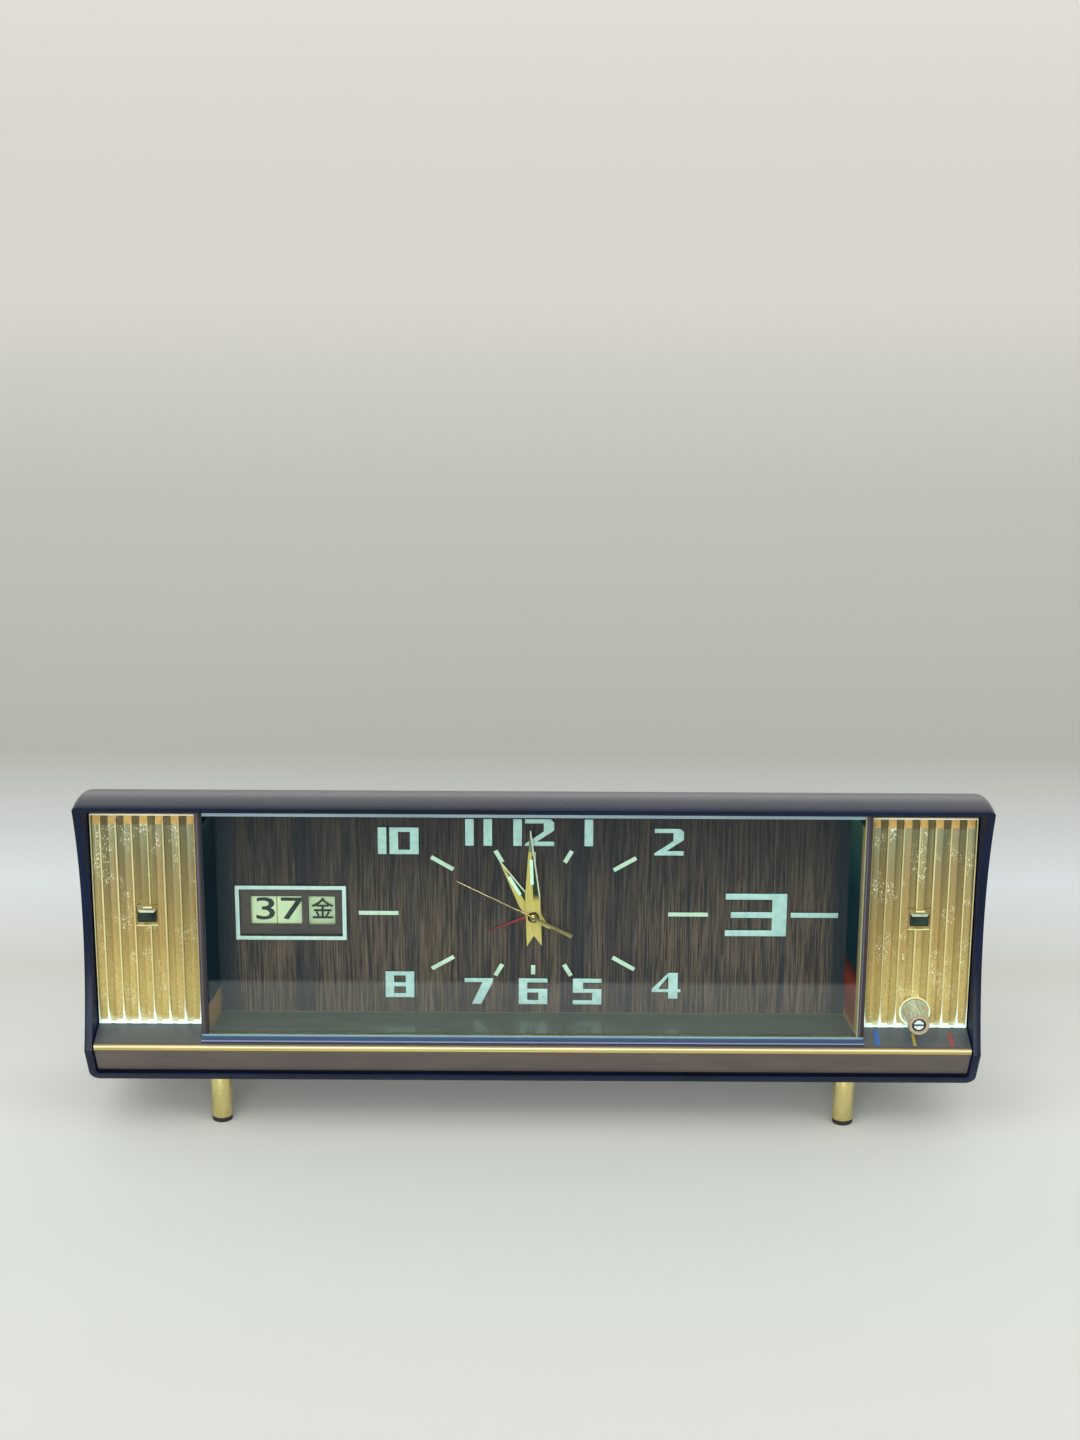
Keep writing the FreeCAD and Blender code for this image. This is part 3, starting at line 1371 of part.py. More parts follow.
def alarm_work():
    """The second spring barrel and the bell on its strap and post."""
    x, z = alarm_barrel_place()
    thick = mm("wheel_thick")
    front = train_planes()[1] + thick + mm("pivot_recess")
    radius = mm("alarm_barrel_radius")
    drum = bar(front + thick, mm("alarm_barrel_length"), radius, x, z)
    wheel = gear(mm("fourth_module"), int(mm("alarm_great_teeth")), 0.0, front, thick, 0, x, z)
    piece("alarm_barrel", drawn("alarm_barrel", bored([wheel, drum], front, x, z)))

    radius, wall, height = mm("bell_radius"), mm("bell_wall"), mm("bell_height")
    depth, crown = mm("bell_depth"), mm("bell_crown")
    outer = bar(depth, height, radius)
    outer = outer.makeFillet(crown, [edge for edge in outer.Edges if edge.BoundBox.YMax < depth + 0.01])
    inner = bar(depth + wall, height, radius - wall)
    inner = inner.makeFillet(crown - wall, [edge for edge in inner.Edges
                                            if edge.BoundBox.YMax < depth + wall + 0.01])
    bell = outer.cut(inner).cut(bar(depth - 1, height, mm("pillar_spigot") + mm("pivot_gap")))
    bell_x, bell_z = bell_place()
    bell.translate(Vector(bell_x, 0, bell_z))
    piece("alarm_bell", drawn("alarm_bell", bell))

    rear = mm("back_plate_depth") + mm("plate_thick")
    half, nut_thick = mm("strap_half"), mm("nut_thick")
    strap = polygon_solid(block_stroke(mm("plate_half_width") - mm("strap_lap"), bell_z - half,
                                       bell_x + half, bell_z + half), rear, mm("strap_thick"))
    post = bar(depth + wall, rear - depth - wall, mm("pillar_radius"), bell_x, bell_z)
    pin = bar(depth - nut_thick, rear - depth, mm("pillar_spigot"), bell_x, bell_z)
    nut = bar(depth - nut_thick, nut_thick, mm("bell_nut"), bell_x, bell_z)
    piece("bell_stand", drawn("bell_stand", joined([strap, post, pin, nut])))


def alarm_hammer():
    """A round head on a flat arm, resting just off the rim of the bell."""
    x, z = hammer_place()
    reach = mm("bell_radius") + mm("hammer_head") + mm("hammer_gap")
    head_x, head_z = polar(*bell_place(), reach, math.radians(mm("hammer_angle")))
    head_depth = mm("bell_depth") + mm("bell_height") / 2
    head = bar(head_depth, mm("hammer_thick"), mm("hammer_head"), head_x, head_z)
    tilt = math.atan2(head_z - z, head_x - x)
    side_x = mm("hammer_arm_width") / 2 * math.sin(tilt)
    side_z = mm("hammer_arm_width") / 2 * math.cos(tilt)
    arm_depth = head_depth + (mm("hammer_thick") - mm("hammer_arm_thick")) / 2
    arm = polygon_solid([(x - side_x, z + side_z), (x + side_x, z - side_z),
                         (head_x + side_x, head_z - side_z), (head_x - side_x, head_z + side_z)],
                        arm_depth, mm("hammer_arm_thick"))
    piece("alarm_hammer", drawn("alarm_hammer", joined([arm, head, arbor(hammer_place())])))


# ---------------------------------------------------------------- music movement

def across(radius, left, right, depth, z):
    """A round bar along X."""
    return Part.makeCylinder(radius, right - left, Vector(left, depth, z), Vector(1, 0, 0))


def music_bedplate():
    """The bedplate with its arms, cheeks, comb seat and posts, and the spring case on it."""
    key_x, level = music_key_place()
    depth, bed = mm("music_depth"), mm("bed_depth")
    left, right = mm("cylinder_left"), mm("cylinder_right")
    margin, thick = mm("bed_margin"), mm("bed_thick")
    plate = polygon_solid(block_stroke(mm("bed_left"), mm("bed_low"), mm("bed_right"), mm("bed_high")),
                          bed, thick)
    plate = plate.cut(bar(bed - 1, thick + 2, mm("key_shaft") + mm("stem_gap"), key_x, level))
    reach = bed - depth + 2 * mm("music_shaft")
    solids = [plate]
    width, arm_thick = mm("music_arm_width"), mm("music_arm_thick")
    for z in (mm("bed_low") + margin, mm("bed_high") - margin):
        corner = Vector(mm("governor_x") - width / 2, bed - reach, z - arm_thick / 2)
        solids.append(Part.makeBox(width, reach, arm_thick, corner))
        for x in (mm("bed_left") + margin, mm("bed_right") - margin):
            solids.append(bar(bed + thick, mm("rear_face") - bed - thick, mm("music_post"), x, z))
    cheek, height = mm("cheek_thick"), mm("cheek_height")
    for x in (left - mm("cheek_gap") - cheek, right + mm("cheek_gap")):
        block = Part.makeBox(cheek, reach, height, Vector(x, bed - reach, level - height / 2))
        bore = across(mm("music_shaft") + mm("pivot_gap"), x - 1, x + cheek + 1, depth, level)
        solids.append(block.cut(bore))
    half = mm("comb_thick") / 2
    solids.append(Part.makeBox(right - left, bed - depth - half, mm("comb_seat"),
                               Vector(left, depth + half, comb_low())))
    case = bar(depth, bed - depth, mm("spring_case_radius"), key_x, level)
    case = case.cut(bar(depth - 1, bed - depth + 2, mm("key_shaft") + mm("pivot_gap"), key_x, level))
    piece("music_bedplate", drawn("music_bedplate", Part.makeCompound([joined(solids), case])))


def comb_low():
    return mm("bed_low") + mm("cheek_gap") * 2


def music_work():
    """The cylinder, the steel comb under it and the governor with its fan."""
    level, depth = mm("music_level"), mm("music_depth")
    left, right = mm("cylinder_left"), mm("cylinder_right")
    drum = across(mm("cylinder_radius"), left, right, depth, level)
    end = mm("cheek_gap") + mm("cheek_thick") - mm("pivot_recess")
    shaft = across(mm("music_shaft"), left - end, right + end, depth, level)
    piece("music_cylinder", drawn("music_cylinder", joined([drum, shaft])))

    teeth, thick, heel = int(mm("comb_teeth")), mm("comb_thick"), comb_low() + mm("comb_heel")
    tip = level - mm("cylinder_radius") - mm("comb_gap")
    pitch = (right - left) / teeth
    comb = [polygon_solid(block_stroke(left, comb_low(), right, heel), depth - thick / 2, thick)]
    for number in range(teeth):
        start = left + number * pitch
        tooth = block_stroke(start, heel, start + 0.7 * pitch, tip)
        comb.append(polygon_solid(tooth, depth - thick / 2, thick))
    piece("music_comb", drawn("music_comb", joined(comb)))

    x, radius = mm("governor_x"), mm("governor_radius")
    low, high = mm("bed_low") + mm("bed_margin"), mm("bed_high") - mm("bed_margin")
    seat = mm("music_arm_thick") / 2 + mm("pivot_recess")
    shaft = Part.makeCylinder(mm("governor_shaft"), high - low - 2 * seat, Vector(x, depth, low + seat))
    fan = Part.makeBox(2 * radius, mm("fan_thick"), mm("fan_length"),
                       Vector(x - radius, depth - mm("fan_thick") / 2, high - mm("fan_drop")))
    worm = Part.makeCylinder(mm("worm_radius"), mm("worm_length"),
                             Vector(x, depth, level - mm("worm_length") / 2))
    piece("music_governor", drawn("music_governor", joined([shaft, fan, worm])))


# ---------------------------------------------------------------- keys and levers at the back

def winding_key(start, x, z):
    """A butterfly key on its arbor."""
    reach, height, thick = mm("key_reach"), mm("key_height"), mm("key_thick")
    half_high = height / 2
    collar_depth = mm("rear_face") + mm("cover_thick") + mm("key_gap")
    neck = reach - height + thick / 2
    shaft = bar(start, neck - start, mm("key_shaft"), x, z)
    collar = bar(collar_depth, neck - collar_depth, mm("key_collar"), x, z)
    lobe = mm("key_span") - half_high
    middle = reach - half_high
    wings = [Part.makeBox(2 * lobe, height, thick, Vector(x - lobe, reach - height, z - thick / 2))]
    for side in (-1, 1):
        wings.append(Part.makeCylinder(half_high, thick, Vector(x + side * lobe, middle, z - thick / 2)))
    wing = joined(wings)
    for side in (-1, 1):
        hole = Part.makeCylinder(half_high / 2, 2 * thick, Vector(x + side * lobe, middle, z - thick))
        wing = wing.cut(hole)
    return joined([shaft, collar, wing])


def keys():
    inside = pivot_ends()[0]
    for name, start, middle in (("time_key", inside, barrel_place()),
                                ("bell_key", inside, alarm_barrel_place()),
                                ("music_key", mm("music_depth") + mm("pivot_recess"), music_key_place())):
        piece(name, drawn(name, winding_key(start, *middle)))


def regulator_lever():
    """The fast and slow lever: a ring round the balance staff, an arm and a tab through the cover."""
    x, z = balance_place()
    depth = mm("back_plate_depth") + mm("plate_thick") + mm("pivot_recess")
    drop, thick, width = mm("regulator_drop"), mm("regulator_thick"), mm("regulator_width")
    tab_width, tab_height = mm("tab_width"), mm("tab_height")
    ring = bar(depth, thick, mm("regulator_ring"), x, z)
    arm = polygon_solid([(x - width / 2, z), (x - tab_width / 2, z - drop),
                         (x + tab_width / 2, z - drop), (x + width / 2, z)], depth, thick)
    tab_length = mm("rear_face") + mm("cover_thick") + mm("tab_reach") - depth
    tab = Part.makeBox(tab_width, tab_length, tab_height,
                       Vector(x - tab_width / 2, depth, z - drop - tab_height / 2))
    bore = mm("arbor_radius") + mm("regulator_bore_gap")
    solid = joined([ring, arm, tab]).cut(bar(depth - 1, thick + 2, bore, x, z))
    piece("regulator_lever", drawn("regulator_lever", solid))


# ---------------------------------------------------------------- calendar

def drum_depth():
    """Depth of the drums' axle: their corners just clear the mask."""
    corner = mm("drum_flat") / math.cos(math.pi / DRUM_FACES)
    return mm("dial_depth") + mm("dial_thick") + mm("mask_thick") + mm("drum_mask_gap") + corner


def thumb_drop():
    reach = mm("calendar_module") * (mm("drum_teeth") + mm("thumb_teeth")) / 2
    return math.sqrt(reach ** 2 - (mm("thumb_depth") - drum_depth()) ** 2)


def calendar_surround():
    low, height = "dial_level - surround_half", "2 * surround_half"
    width = "surround_right - surround_left"
    frame = box("surround_block", "surround_left", "dial_depth - surround_thick", low, width,
                "surround_thick", height)
    window = box("surround_window", "surround_left + surround_border", "dial_depth - 2 * surround_thick",
                 low + " + surround_border", width + " - 2 * surround_border",
                 "3 * surround_thick", height + " - 2 * surround_border")
    piece("calendar_surround", cut("calendar_surround", frame, window))


def calendar_mask():
    cells = [("date_left", "dial_level - cell_half", "date_right", "dial_level + cell_half"),
             ("weekday_left", "dial_level - cell_half", "weekday_right", "dial_level + cell_half")]
    piece("calendar_mask", plate_body(
        "calendar_mask", "surround_left", "dial_level - surround_half", "surround_right",
        "dial_level + surround_half", "dial_depth + dial_thick", "mask_thick", (), cells))


def side_gear(teeth, phase, left, thick, bore, depth, z):
    """A calendar gear whose axle runs along X."""
    solid = gear(mm("calendar_module"), teeth, phase, -thick, thick, bore)
    solid.rotate(Vector(0, 0, 0), Vector(0, 0, 1), 90)
    solid.translate(Vector(left, depth, z))
    return solid


def drum_prism(faces, flat, left, right):
    """A drum with flat faces, one of them turned to the front."""
    corner = flat / math.cos(math.pi / faces)
    points = []
    for number in range(faces):
        angle = math.pi + (2 * number + 1) * math.pi / faces
        points.append(Vector(left, drum_depth() + corner * math.cos(angle),
                             mm("dial_level") + corner * math.sin(angle)))
    return Part.Face(Part.makePolygon(points + points[:1])).extrude(Vector(right - left, 0, 0))


DRUM_FACES = 10
WEEKDAY_FACES = 7


def drum_spans():
    """Left and right end of each drum and the side that its gear is on."""
    divide = (mm("date_left") + mm("date_right")) / 2
    half = mm("drum_gap") / 2
    return [("tens", DRUM_FACES, mm("drum_flat"), mm("date_left") - half, divide - half, -1),
            ("units", DRUM_FACES, mm("drum_flat"), divide + half, mm("date_right") - half, 1),
            ("weekday", WEEKDAY_FACES, mm("weekday_flat"), mm("weekday_left"), mm("weekday_right"), 1)]


def gear_width():
    return mm("thumb_width") + mm("gear_overlap")


def thumb_middle(left, right, side):
    edge = left if side < 0 else right
    return edge + side * (mm("drum_gap") + mm("thumb_width") / 2)


THUMB_X = [thumb_middle(left, right, side) for name, faces, flat, left, right, side in drum_spans()]


def calendar_drums():
    drum_teeth, thumb_teeth = int(mm("drum_teeth")), int(mm("thumb_teeth"))
    direction = math.atan2(-thumb_drop(), mm("thumb_depth") - drum_depth())
    thumb_phase = mesh_phase(direction, direction, drum_teeth, thumb_teeth)
    bore = mm("axle_radius") + mm("drum_clearance")
    thumb_bore = mm("thumb_axle_radius") + mm("drum_clearance")
    level, depth, width = mm("dial_level"), drum_depth(), gear_width()
    for name, faces, flat, left, right, side in drum_spans():
        gear_left = left - width if side < 0 else right
        teeth = side_gear(drum_teeth, direction, gear_left, width, 0, depth, level)
        solid = joined([drum_prism(faces, flat, left, right), teeth])
        solid = solid.cut(across(bore, left - 2 * width, right + 2 * width, depth, level))
        piece(name + "_drum", drawn(name + "_drum", solid))
        middle = thumb_middle(left, right, side)
        wheel = side_gear(thumb_teeth, thumb_phase, middle - mm("thumb_width") / 2, mm("thumb_width"),
                          thumb_bore, mm("thumb_depth"), level - thumb_drop())
        piece(name + "_thumbwheel", drawn(name + "_thumbwheel", wheel))


def calendar_frame():
    """The axles of the drums and thumbwheels and the bracket that holds them behind the dial."""
    spans = drum_spans()
    left = spans[0][3] - gear_width() - mm("bracket_gap")
    right = spans[-1][4] + gear_width() + mm("bracket_gap")
    wall, bar_thick = mm("bracket_wall"), mm("bracket_bar")
    level, foot_reach = mm("dial_level"), mm("bracket_foot")
    dial_rear = mm("dial_depth") + mm("dial_thick")
    front = dial_rear + mm("mask_thick") + mm("bracket_step")
    low = level - thumb_drop() - foot_reach
    high = level + mm("drum_flat") / math.cos(math.pi / DRUM_FACES) + mm("bracket_room") + bar_thick
    elbow = drum_depth() + mm("bracket_neck")
    solids = []
    for x in (left - wall, right):
        cheek = Part.makeBox(wall, elbow - front, high - low, Vector(x, front, low))
        foot = Part.makeBox(wall, mm("thumb_depth") + foot_reach - elbow, mm("bracket_foot_height"),
                            Vector(x, elbow, low))
        solids.append(cheek.fuse(foot))
    for z in (low, high - bar_thick):
        solids.append(Part.makeBox(right - left + 2 * wall, front + mm("bar_lap") - dial_rear, bar_thick,
                                   Vector(left - wall, dial_rear, z)))
    bracket = joined(solids)
    end, rods = wall + mm("axle_end"), []
    for depth, z, radius in ((drum_depth(), level, mm("axle_radius")),
                             (mm("thumb_depth"), level - thumb_drop(), mm("thumb_axle_radius"))):
        bracket = bracket.cut(across(radius + mm("axle_fit"), left - end, right + end, depth, z))
        rods.append(across(radius, left - end, right + end, depth, z))
    piece("calendar_bracket", drawn("calendar_bracket", bracket))
    piece("calendar_axles", drawn("calendar_axles", Part.makeCompound(rods)))


# ---------------------------------------------------------------- selector

def selector():
    """The knob on its shaft, and the bushing that it turns in."""
    shelf = "panel_face + panel_groove"
    wall_rear = "panel_face + panel_groove + panel_back + frame_wall"
    flange = rod("bushing_flange", SELECTOR_X, shelf, "selector_level", "selector_halo - glass_gap",
                 "panel_back")
    sleeve = rod("bushing_sleeve", SELECTOR_X, shelf, "selector_level", "bushing_radius",
                 "panel_back + frame_wall + bushing_tail")
    bore = rod("bushing_bore", SELECTOR_X, "0", "selector_level", "selector_shaft + pivot_gap",
               "dial_depth")
    piece("selector_bushing", cut("selector_bushing", fuse("bushing_body", flange, sleeve), bore))
    inside = "selector_socket - selector_reach"
    disc_front = wall_rear + " + bushing_tail + disc_gap"
    stem = rod("selector_stem", SELECTOR_X, inside, "selector_level", "selector_shaft",
               "%s + disc_thick + shaft_tail - disc_gap - (%s)" % (disc_front, inside))
    disc = rod("selector_disc", SELECTOR_X, disc_front, "selector_level",
               "bushing_radius + disc_rim", "disc_thick")
    knob = cone("selector_cone", SELECTOR_X, "-selector_reach", "selector_level", "selector_end",
                "selector_base", "selector_reach + %s - glass_gap" % shelf)
    socket = rod("selector_hole", SELECTOR_X, inside, "selector_level",
                 "selector_shaft + pivot_gap / 2", "dial_depth")
    piece("selector_knob", group("selector_knob", cut("knob_shell", knob, socket),
                                 fuse("selector_spindle", stem, disc)))


# ---------------------------------------------------------------- build, check and write

def check(items):
    """Stops with a plain message if anything failed to build."""
    for item in doc.Objects:
        bad = [state for state in item.State if state in ("Invalid", "Error")]
        if bad:
            raise RuntimeError("%s failed to build: %s" % (item.Name, bad))
    for item in items:
        if item.Shape.isNull() or not item.Shape.isValid() or not item.Shape.Solids:
            raise RuntimeError("%s has no valid solid" % item.Label)


case_shell()
rear_cover()
legs()
front_fascia()
gold_trim_strip()
fluted_panels()
panel_ornaments()
window_bezel()
window_glass()
dial_tunnel()
side_reflectors()
dial_plate()
dial_numerals()
hour_markers()
calendar_surround()
calendar_mask()
calendar_drums()
calendar_frame()
hands()
motion_work()
plates_and_pillars()
going_train()
escapement()
alarm_work()
alarm_hammer()
music_bedplate()
music_work()
keys()
regulator_lever()
selector()

doc.recompute()
check(parts)
os.makedirs("parts", exist_ok=True)
for item in parts:
    item.Shape.exportStep("parts/%s.step" % item.Label)
print("%d sub-parts written" % len(parts))
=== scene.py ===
import json
import math
from contextlib import contextmanager
import bpy
from mathutils import Euler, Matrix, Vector

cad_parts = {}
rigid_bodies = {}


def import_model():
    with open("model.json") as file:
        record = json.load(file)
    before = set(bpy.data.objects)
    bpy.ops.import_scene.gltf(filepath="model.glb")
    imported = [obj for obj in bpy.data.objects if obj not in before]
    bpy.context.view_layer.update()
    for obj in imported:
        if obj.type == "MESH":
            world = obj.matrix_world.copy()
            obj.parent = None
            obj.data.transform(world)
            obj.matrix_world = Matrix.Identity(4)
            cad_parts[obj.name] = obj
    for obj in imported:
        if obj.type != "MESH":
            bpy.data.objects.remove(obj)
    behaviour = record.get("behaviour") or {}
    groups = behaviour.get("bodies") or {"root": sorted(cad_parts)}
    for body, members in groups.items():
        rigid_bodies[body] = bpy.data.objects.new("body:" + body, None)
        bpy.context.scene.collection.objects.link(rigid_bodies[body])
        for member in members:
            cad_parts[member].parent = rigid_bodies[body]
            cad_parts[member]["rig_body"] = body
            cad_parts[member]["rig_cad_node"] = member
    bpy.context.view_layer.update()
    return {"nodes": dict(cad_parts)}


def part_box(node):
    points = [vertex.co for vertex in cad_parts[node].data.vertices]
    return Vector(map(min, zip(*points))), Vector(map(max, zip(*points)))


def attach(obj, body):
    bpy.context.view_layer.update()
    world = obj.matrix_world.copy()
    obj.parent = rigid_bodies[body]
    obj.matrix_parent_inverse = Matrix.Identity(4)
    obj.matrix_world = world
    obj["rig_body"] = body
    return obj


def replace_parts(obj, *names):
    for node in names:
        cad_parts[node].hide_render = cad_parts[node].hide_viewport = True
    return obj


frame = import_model()

mm = 0.001
dialLevel = 86.9
scene = bpy.context.scene
nodes = frame["nodes"]


# colours, nodes and materials

def linear(hexColour):
    parts = [int(hexColour[k:k + 2], 16) / 255 for k in (1, 3, 5)]
    return [p / 12.92 if p <= 0.04045 else ((p + 0.055) / 1.055) ** 2.4 for p in parts] + [1.0]


def addNode(tree, kind, links=None, values=None, stops=None, **settings):
    made = tree.nodes.new("ShaderNode" + kind)
    for name, value in settings.items():
        setattr(made, name, value)
    for socket, value in (values or {}).items():
        made.inputs[socket].default_value = value
    for socket, source in (links or {}).items():
        tree.links.new(source, made.inputs[socket])
    if stops:
        ramp = made.color_ramp.elements
        while len(ramp) < len(stops):
            ramp.new(0.5)
        for element, (place, colour) in zip(ramp, stops):
            element.position = place
            element.color = linear(colour)
    return made


def startMaterial(name, **sockets):
    material = bpy.data.materials.new(name)
    material.use_nodes = True
    shader = material.node_tree.nodes["Principled BSDF"]
    for socket, value in sockets.items():
        shader.inputs[socket.replace("_", " ")].default_value = value
    return material, material.node_tree


def wire(material, **sources):
    tree = material.node_tree
    for socket, source in sources.items():
        tree.links.new(source, tree.nodes["Principled BSDF"].inputs[socket.replace("_", " ")])
    return material


def relief(material, height, depth):
    bump = addNode(material.node_tree, "Bump", {"Height": height},
                   {"Strength": 1.0, "Distance": depth * mm})
    wire(material, Normal=bump.outputs["Normal"])


def mottle(tree, blobs, detail=3.0, roughness=0.55):
    # uneven cloudiness whose blobs measure so many mm along x, y and z
    place = addNode(tree, "TexCoord").outputs["Object"]
    stretched = addNode(tree, "Mapping", {"Vector": place},
                        {"Scale": [1 / (size * mm) for size in blobs]})
    return addNode(tree, "TexNoise", {"Vector": stretched.outputs["Vector"]},
                   {"Scale": 1.0, "Detail": detail, "Roughness": roughness}).outputs["Fac"]


def along(tree, axis):
    place = addNode(tree, "TexCoord").outputs["Object"]
    return addNode(tree, "SeparateXYZ", {"Vector": place}).outputs[axis]


def fade(tree, value, low, high, full=1.0, none=0.0):
    return addNode(tree, "MapRange", {"Value": value},
                   {"From Min": low, "From Max": high, "To Min": none, "To Max": full},
                   interpolation_type="SMOOTHSTEP").outputs["Result"]


def grade(tree, place, stops):
    # a colour ramp along a place, with its stops in mm
    low, high = stops[0][0], stops[-1][0]
    share = addNode(tree, "MapRange", {"Value": place},
                    {"From Min": low * mm, "From Max": high * mm}).outputs["Result"]
    shares = [((spot - low) / (high - low), colour) for spot, colour in stops]
    return addNode(tree, "ValToRGB", {"Fac": share}, stops=shares).outputs["Color"]


def lay(tree, base, *coats):
    # lays colours over a base, each by a share or where its mask goes from low to high;
    # a mask that names an axis has its limits in mm
    for over, mask, *limits in coats:
        if isinstance(mask, str):
            mask, limits[:2] = along(tree, mask), [limit * mm for limit in limits[:2]]
        share = fade(tree, mask, *limits) if limits else mask
        links, values = {}, {}
        for socket, value in ((0, share), (6, base), (7, over)):
            if isinstance(value, bpy.types.NodeSocket):
                links[socket] = value
            else:
                values[socket] = linear(value) if isinstance(value, str) else value
        base = addNode(tree, "Mix", links, values, data_type="RGBA").outputs[2]
    return base


def mouldedPlastic(name, look):
    # injection moulded ABS: even colour, faint flow clouds, a fine spark texture in the skin
    rough, spread = look["rough"], 0.06
    material, tree = startMaterial(
        name, Roughness=rough, IOR=look.get("ior", 1.53), Coat_IOR=look.get("ior", 1.5),
        Coat_Weight=look.get("coat", 0.0), Coat_Roughness=look.get("coatRough", 0.03))
    first, second = look["tones"].split()
    clouds = mottle(tree, look.get("clouds", (30, 30, 30)))
    dust = mottle(tree, [look.get("grain", 0.4)] * 3, 2.0)
    relief(material, dust, look.get("relief", 0.008))
    return wire(material, Base_Color=lay(tree, first, (second, clouds, 0.35, 0.7)),
                Roughness=fade(tree, dust, 0.3, 0.75, rough + spread, rough - spread))


def workedMetal(name, look):
    # metal with the direction of its brushing or turning in the blob sizes
    rough, spread = look["rough"], look.get("spread", 0.08)
    material, tree = startMaterial(name, Metallic=look.get("metallic", 1.0), Roughness=rough)
    first, second, worn = look["tones"].split()
    clouds, lines = mottle(tree, (6, 6, 6)), mottle(tree, look["lines"], 4.0)
    colour = lay(tree, first, (second, clouds, 0.3, 0.75), (worn, lines, 0.62, 0.8, 0.3))
    relief(material, lines, look.get("relief", 0.01))
    return wire(material, Base_Color=colour,
                Roughness=fade(tree, lines, 0.25, 0.75, rough + spread, rough - spread))


def printedPaint(name, look):
    # screen-printed or sprayed paint: a thin satin film, a little uneven at its surface
    material, tree = startMaterial(name, Roughness=look.get("rough", 0.5), IOR=1.5,
                                   Emission_Strength=look.get("glow", 0.0))
    first, second = look["tones"].split()
    colour = lay(tree, first, (second, mottle(tree, [look.get("patches", 2.5)] * 3), 0.35, 0.75))
    relief(material, mottle(tree, (0.25, 0.25, 0.25), 2.0), look.get("relief", 0.008))
    return wire(material, Base_Color=colour, Emission_Color=colour)


# modelling

def clearSelection():
    bpy.ops.object.select_all(action="DESELECT")


def pickPiece(piece):
    clearSelection()
    piece.select_set(True)
    bpy.context.view_layer.objects.active = piece


@contextmanager
def picked(piece, kind, test):
    # edit mode with the parts that pass the test selected; places are in mm
    pickPiece(piece)
    bpy.ops.object.mode_set(mode="EDIT")
    bpy.ops.mesh.select_mode(type=kind)
    bpy.ops.mesh.select_all(action="DESELECT")
    bpy.ops.object.mode_set(mode="OBJECT")
    mesh = piece.data
    if kind == "FACE":
        for face in mesh.polygons:
            face.select = bool(test(face.center / mm, face.normal))
    elif kind == "EDGE":
        for edge in mesh.edges:
            start, end = (mesh.vertices[k].co / mm for k in edge.vertices)
            edge.select = bool(test((start + end) / 2, (end - start).normalized()))
    else:
        for vertex in mesh.vertices:
            vertex.select = bool(test(vertex.co / mm))
    bpy.ops.object.mode_set(mode="EDIT")
    yield
    bpy.ops.object.mode_set(mode="OBJECT")


def anyFace(at, normal):
    return True


def frontFace(at, normal):
    return normal.y < -0.9


def topFace(at, normal):
    return normal.z > 0.9


def near(value, target, slack=0.02):
    return abs(value - target) < slack


def settle(piece):
    # the place, turn and size go into the mesh
    pickPiece(piece)
    bpy.ops.object.transform_apply(location=True, rotation=True, scale=True)
    return piece


def addBlock(name, low, high):
    clearSelection()
    bpy.ops.mesh.primitive_cube_add(size=1, location=[(a + b) / 2 * mm for a, b in zip(low, high)])
    block = bpy.context.object
    block.name = name
    block.scale = [(b - a) * mm for a, b in zip(low, high)]
    return settle(block)


def addBar(name, centre, front, rear, radius, corners=48):
    # a round bar along y
    clearSelection()
    bpy.ops.mesh.primitive_cylinder_add(
        vertices=corners, radius=radius * mm, depth=(rear - front) * mm,
        location=(centre[0] * mm, (front + rear) / 2 * mm, centre[1] * mm),
        rotation=(math.pi / 2, 0, 0))
    bar = bpy.context.object
    bar.name = name
    return settle(bar)


def pushFront(piece, test, reach, wide=1.0, high=1.0):
    # the faces that pass the test move along y with new side walls, and shrink
    with picked(piece, "FACE", test):
        bpy.ops.mesh.extrude_region_move(TRANSFORM_OT_translate={"value": (0, reach * mm, 0)})
        bpy.ops.transform.resize(value=(wide, 1, high))


def sinkFront(piece, test, border, depth):
    # the faces that pass the test sink along y inside a border
    with picked(piece, "FACE", test):
        bpy.ops.mesh.inset(thickness=border * mm, depth=0)
        bpy.ops.mesh.extrude_region_move(TRANSFORM_OT_translate={"value": (0, depth * mm, 0)})


def applyModifier(piece, kind, **settings):
    pickPiece(piece)
    modifier = piece.modifiers.new(kind, kind)
    for key, value in settings.items():
        setattr(modifier, key, value)
    bpy.ops.object.modifier_apply(modifier=modifier.name)


def softenEdges(piece, width, steps=2, angle=28):
    applyModifier(piece, "BEVEL", width=width * mm, segments=steps, limit_method="ANGLE",
                  angle_limit=math.radians(angle), use_clamp_overlap=True)


def joinPieces(name, pieces):
    clearSelection()
    for piece in pieces:
        piece.select_set(True)
    bpy.context.view_layer.objects.active = pieces[0]
    bpy.ops.object.join()
    pieces[0].name = name
    return pieces[0]


def duplicate(piece, name):
    twin = piece.copy()
    twin.data = piece.data.copy()
    twin.name = name
    scene.collection.objects.link(twin)
    return twin


def cutAway(piece, cutter):
    applyModifier(piece, "BOOLEAN", operation="DIFFERENCE", solver="EXACT", object=cutter)
    bpy.data.objects.remove(cutter)


def copyNode(nodeName, name):
    # a merged copy of a CAD node, ready for soft edges
    look = {"merge": 0.002, "flat": 0.6}
    piece = duplicate(nodes[nodeName], name)
    piece.parent = None
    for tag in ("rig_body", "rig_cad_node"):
        del piece[tag]
    with picked(piece, "FACE", anyFace):
        bpy.ops.mesh.select_all(action="SELECT")
        bpy.ops.mesh.remove_doubles(threshold=look["merge"] * mm)
        bpy.ops.mesh.customdata_custom_splitnormals_clear()
        bpy.ops.mesh.dissolve_limited(angle_limit=math.radians(look["flat"]))
    return piece


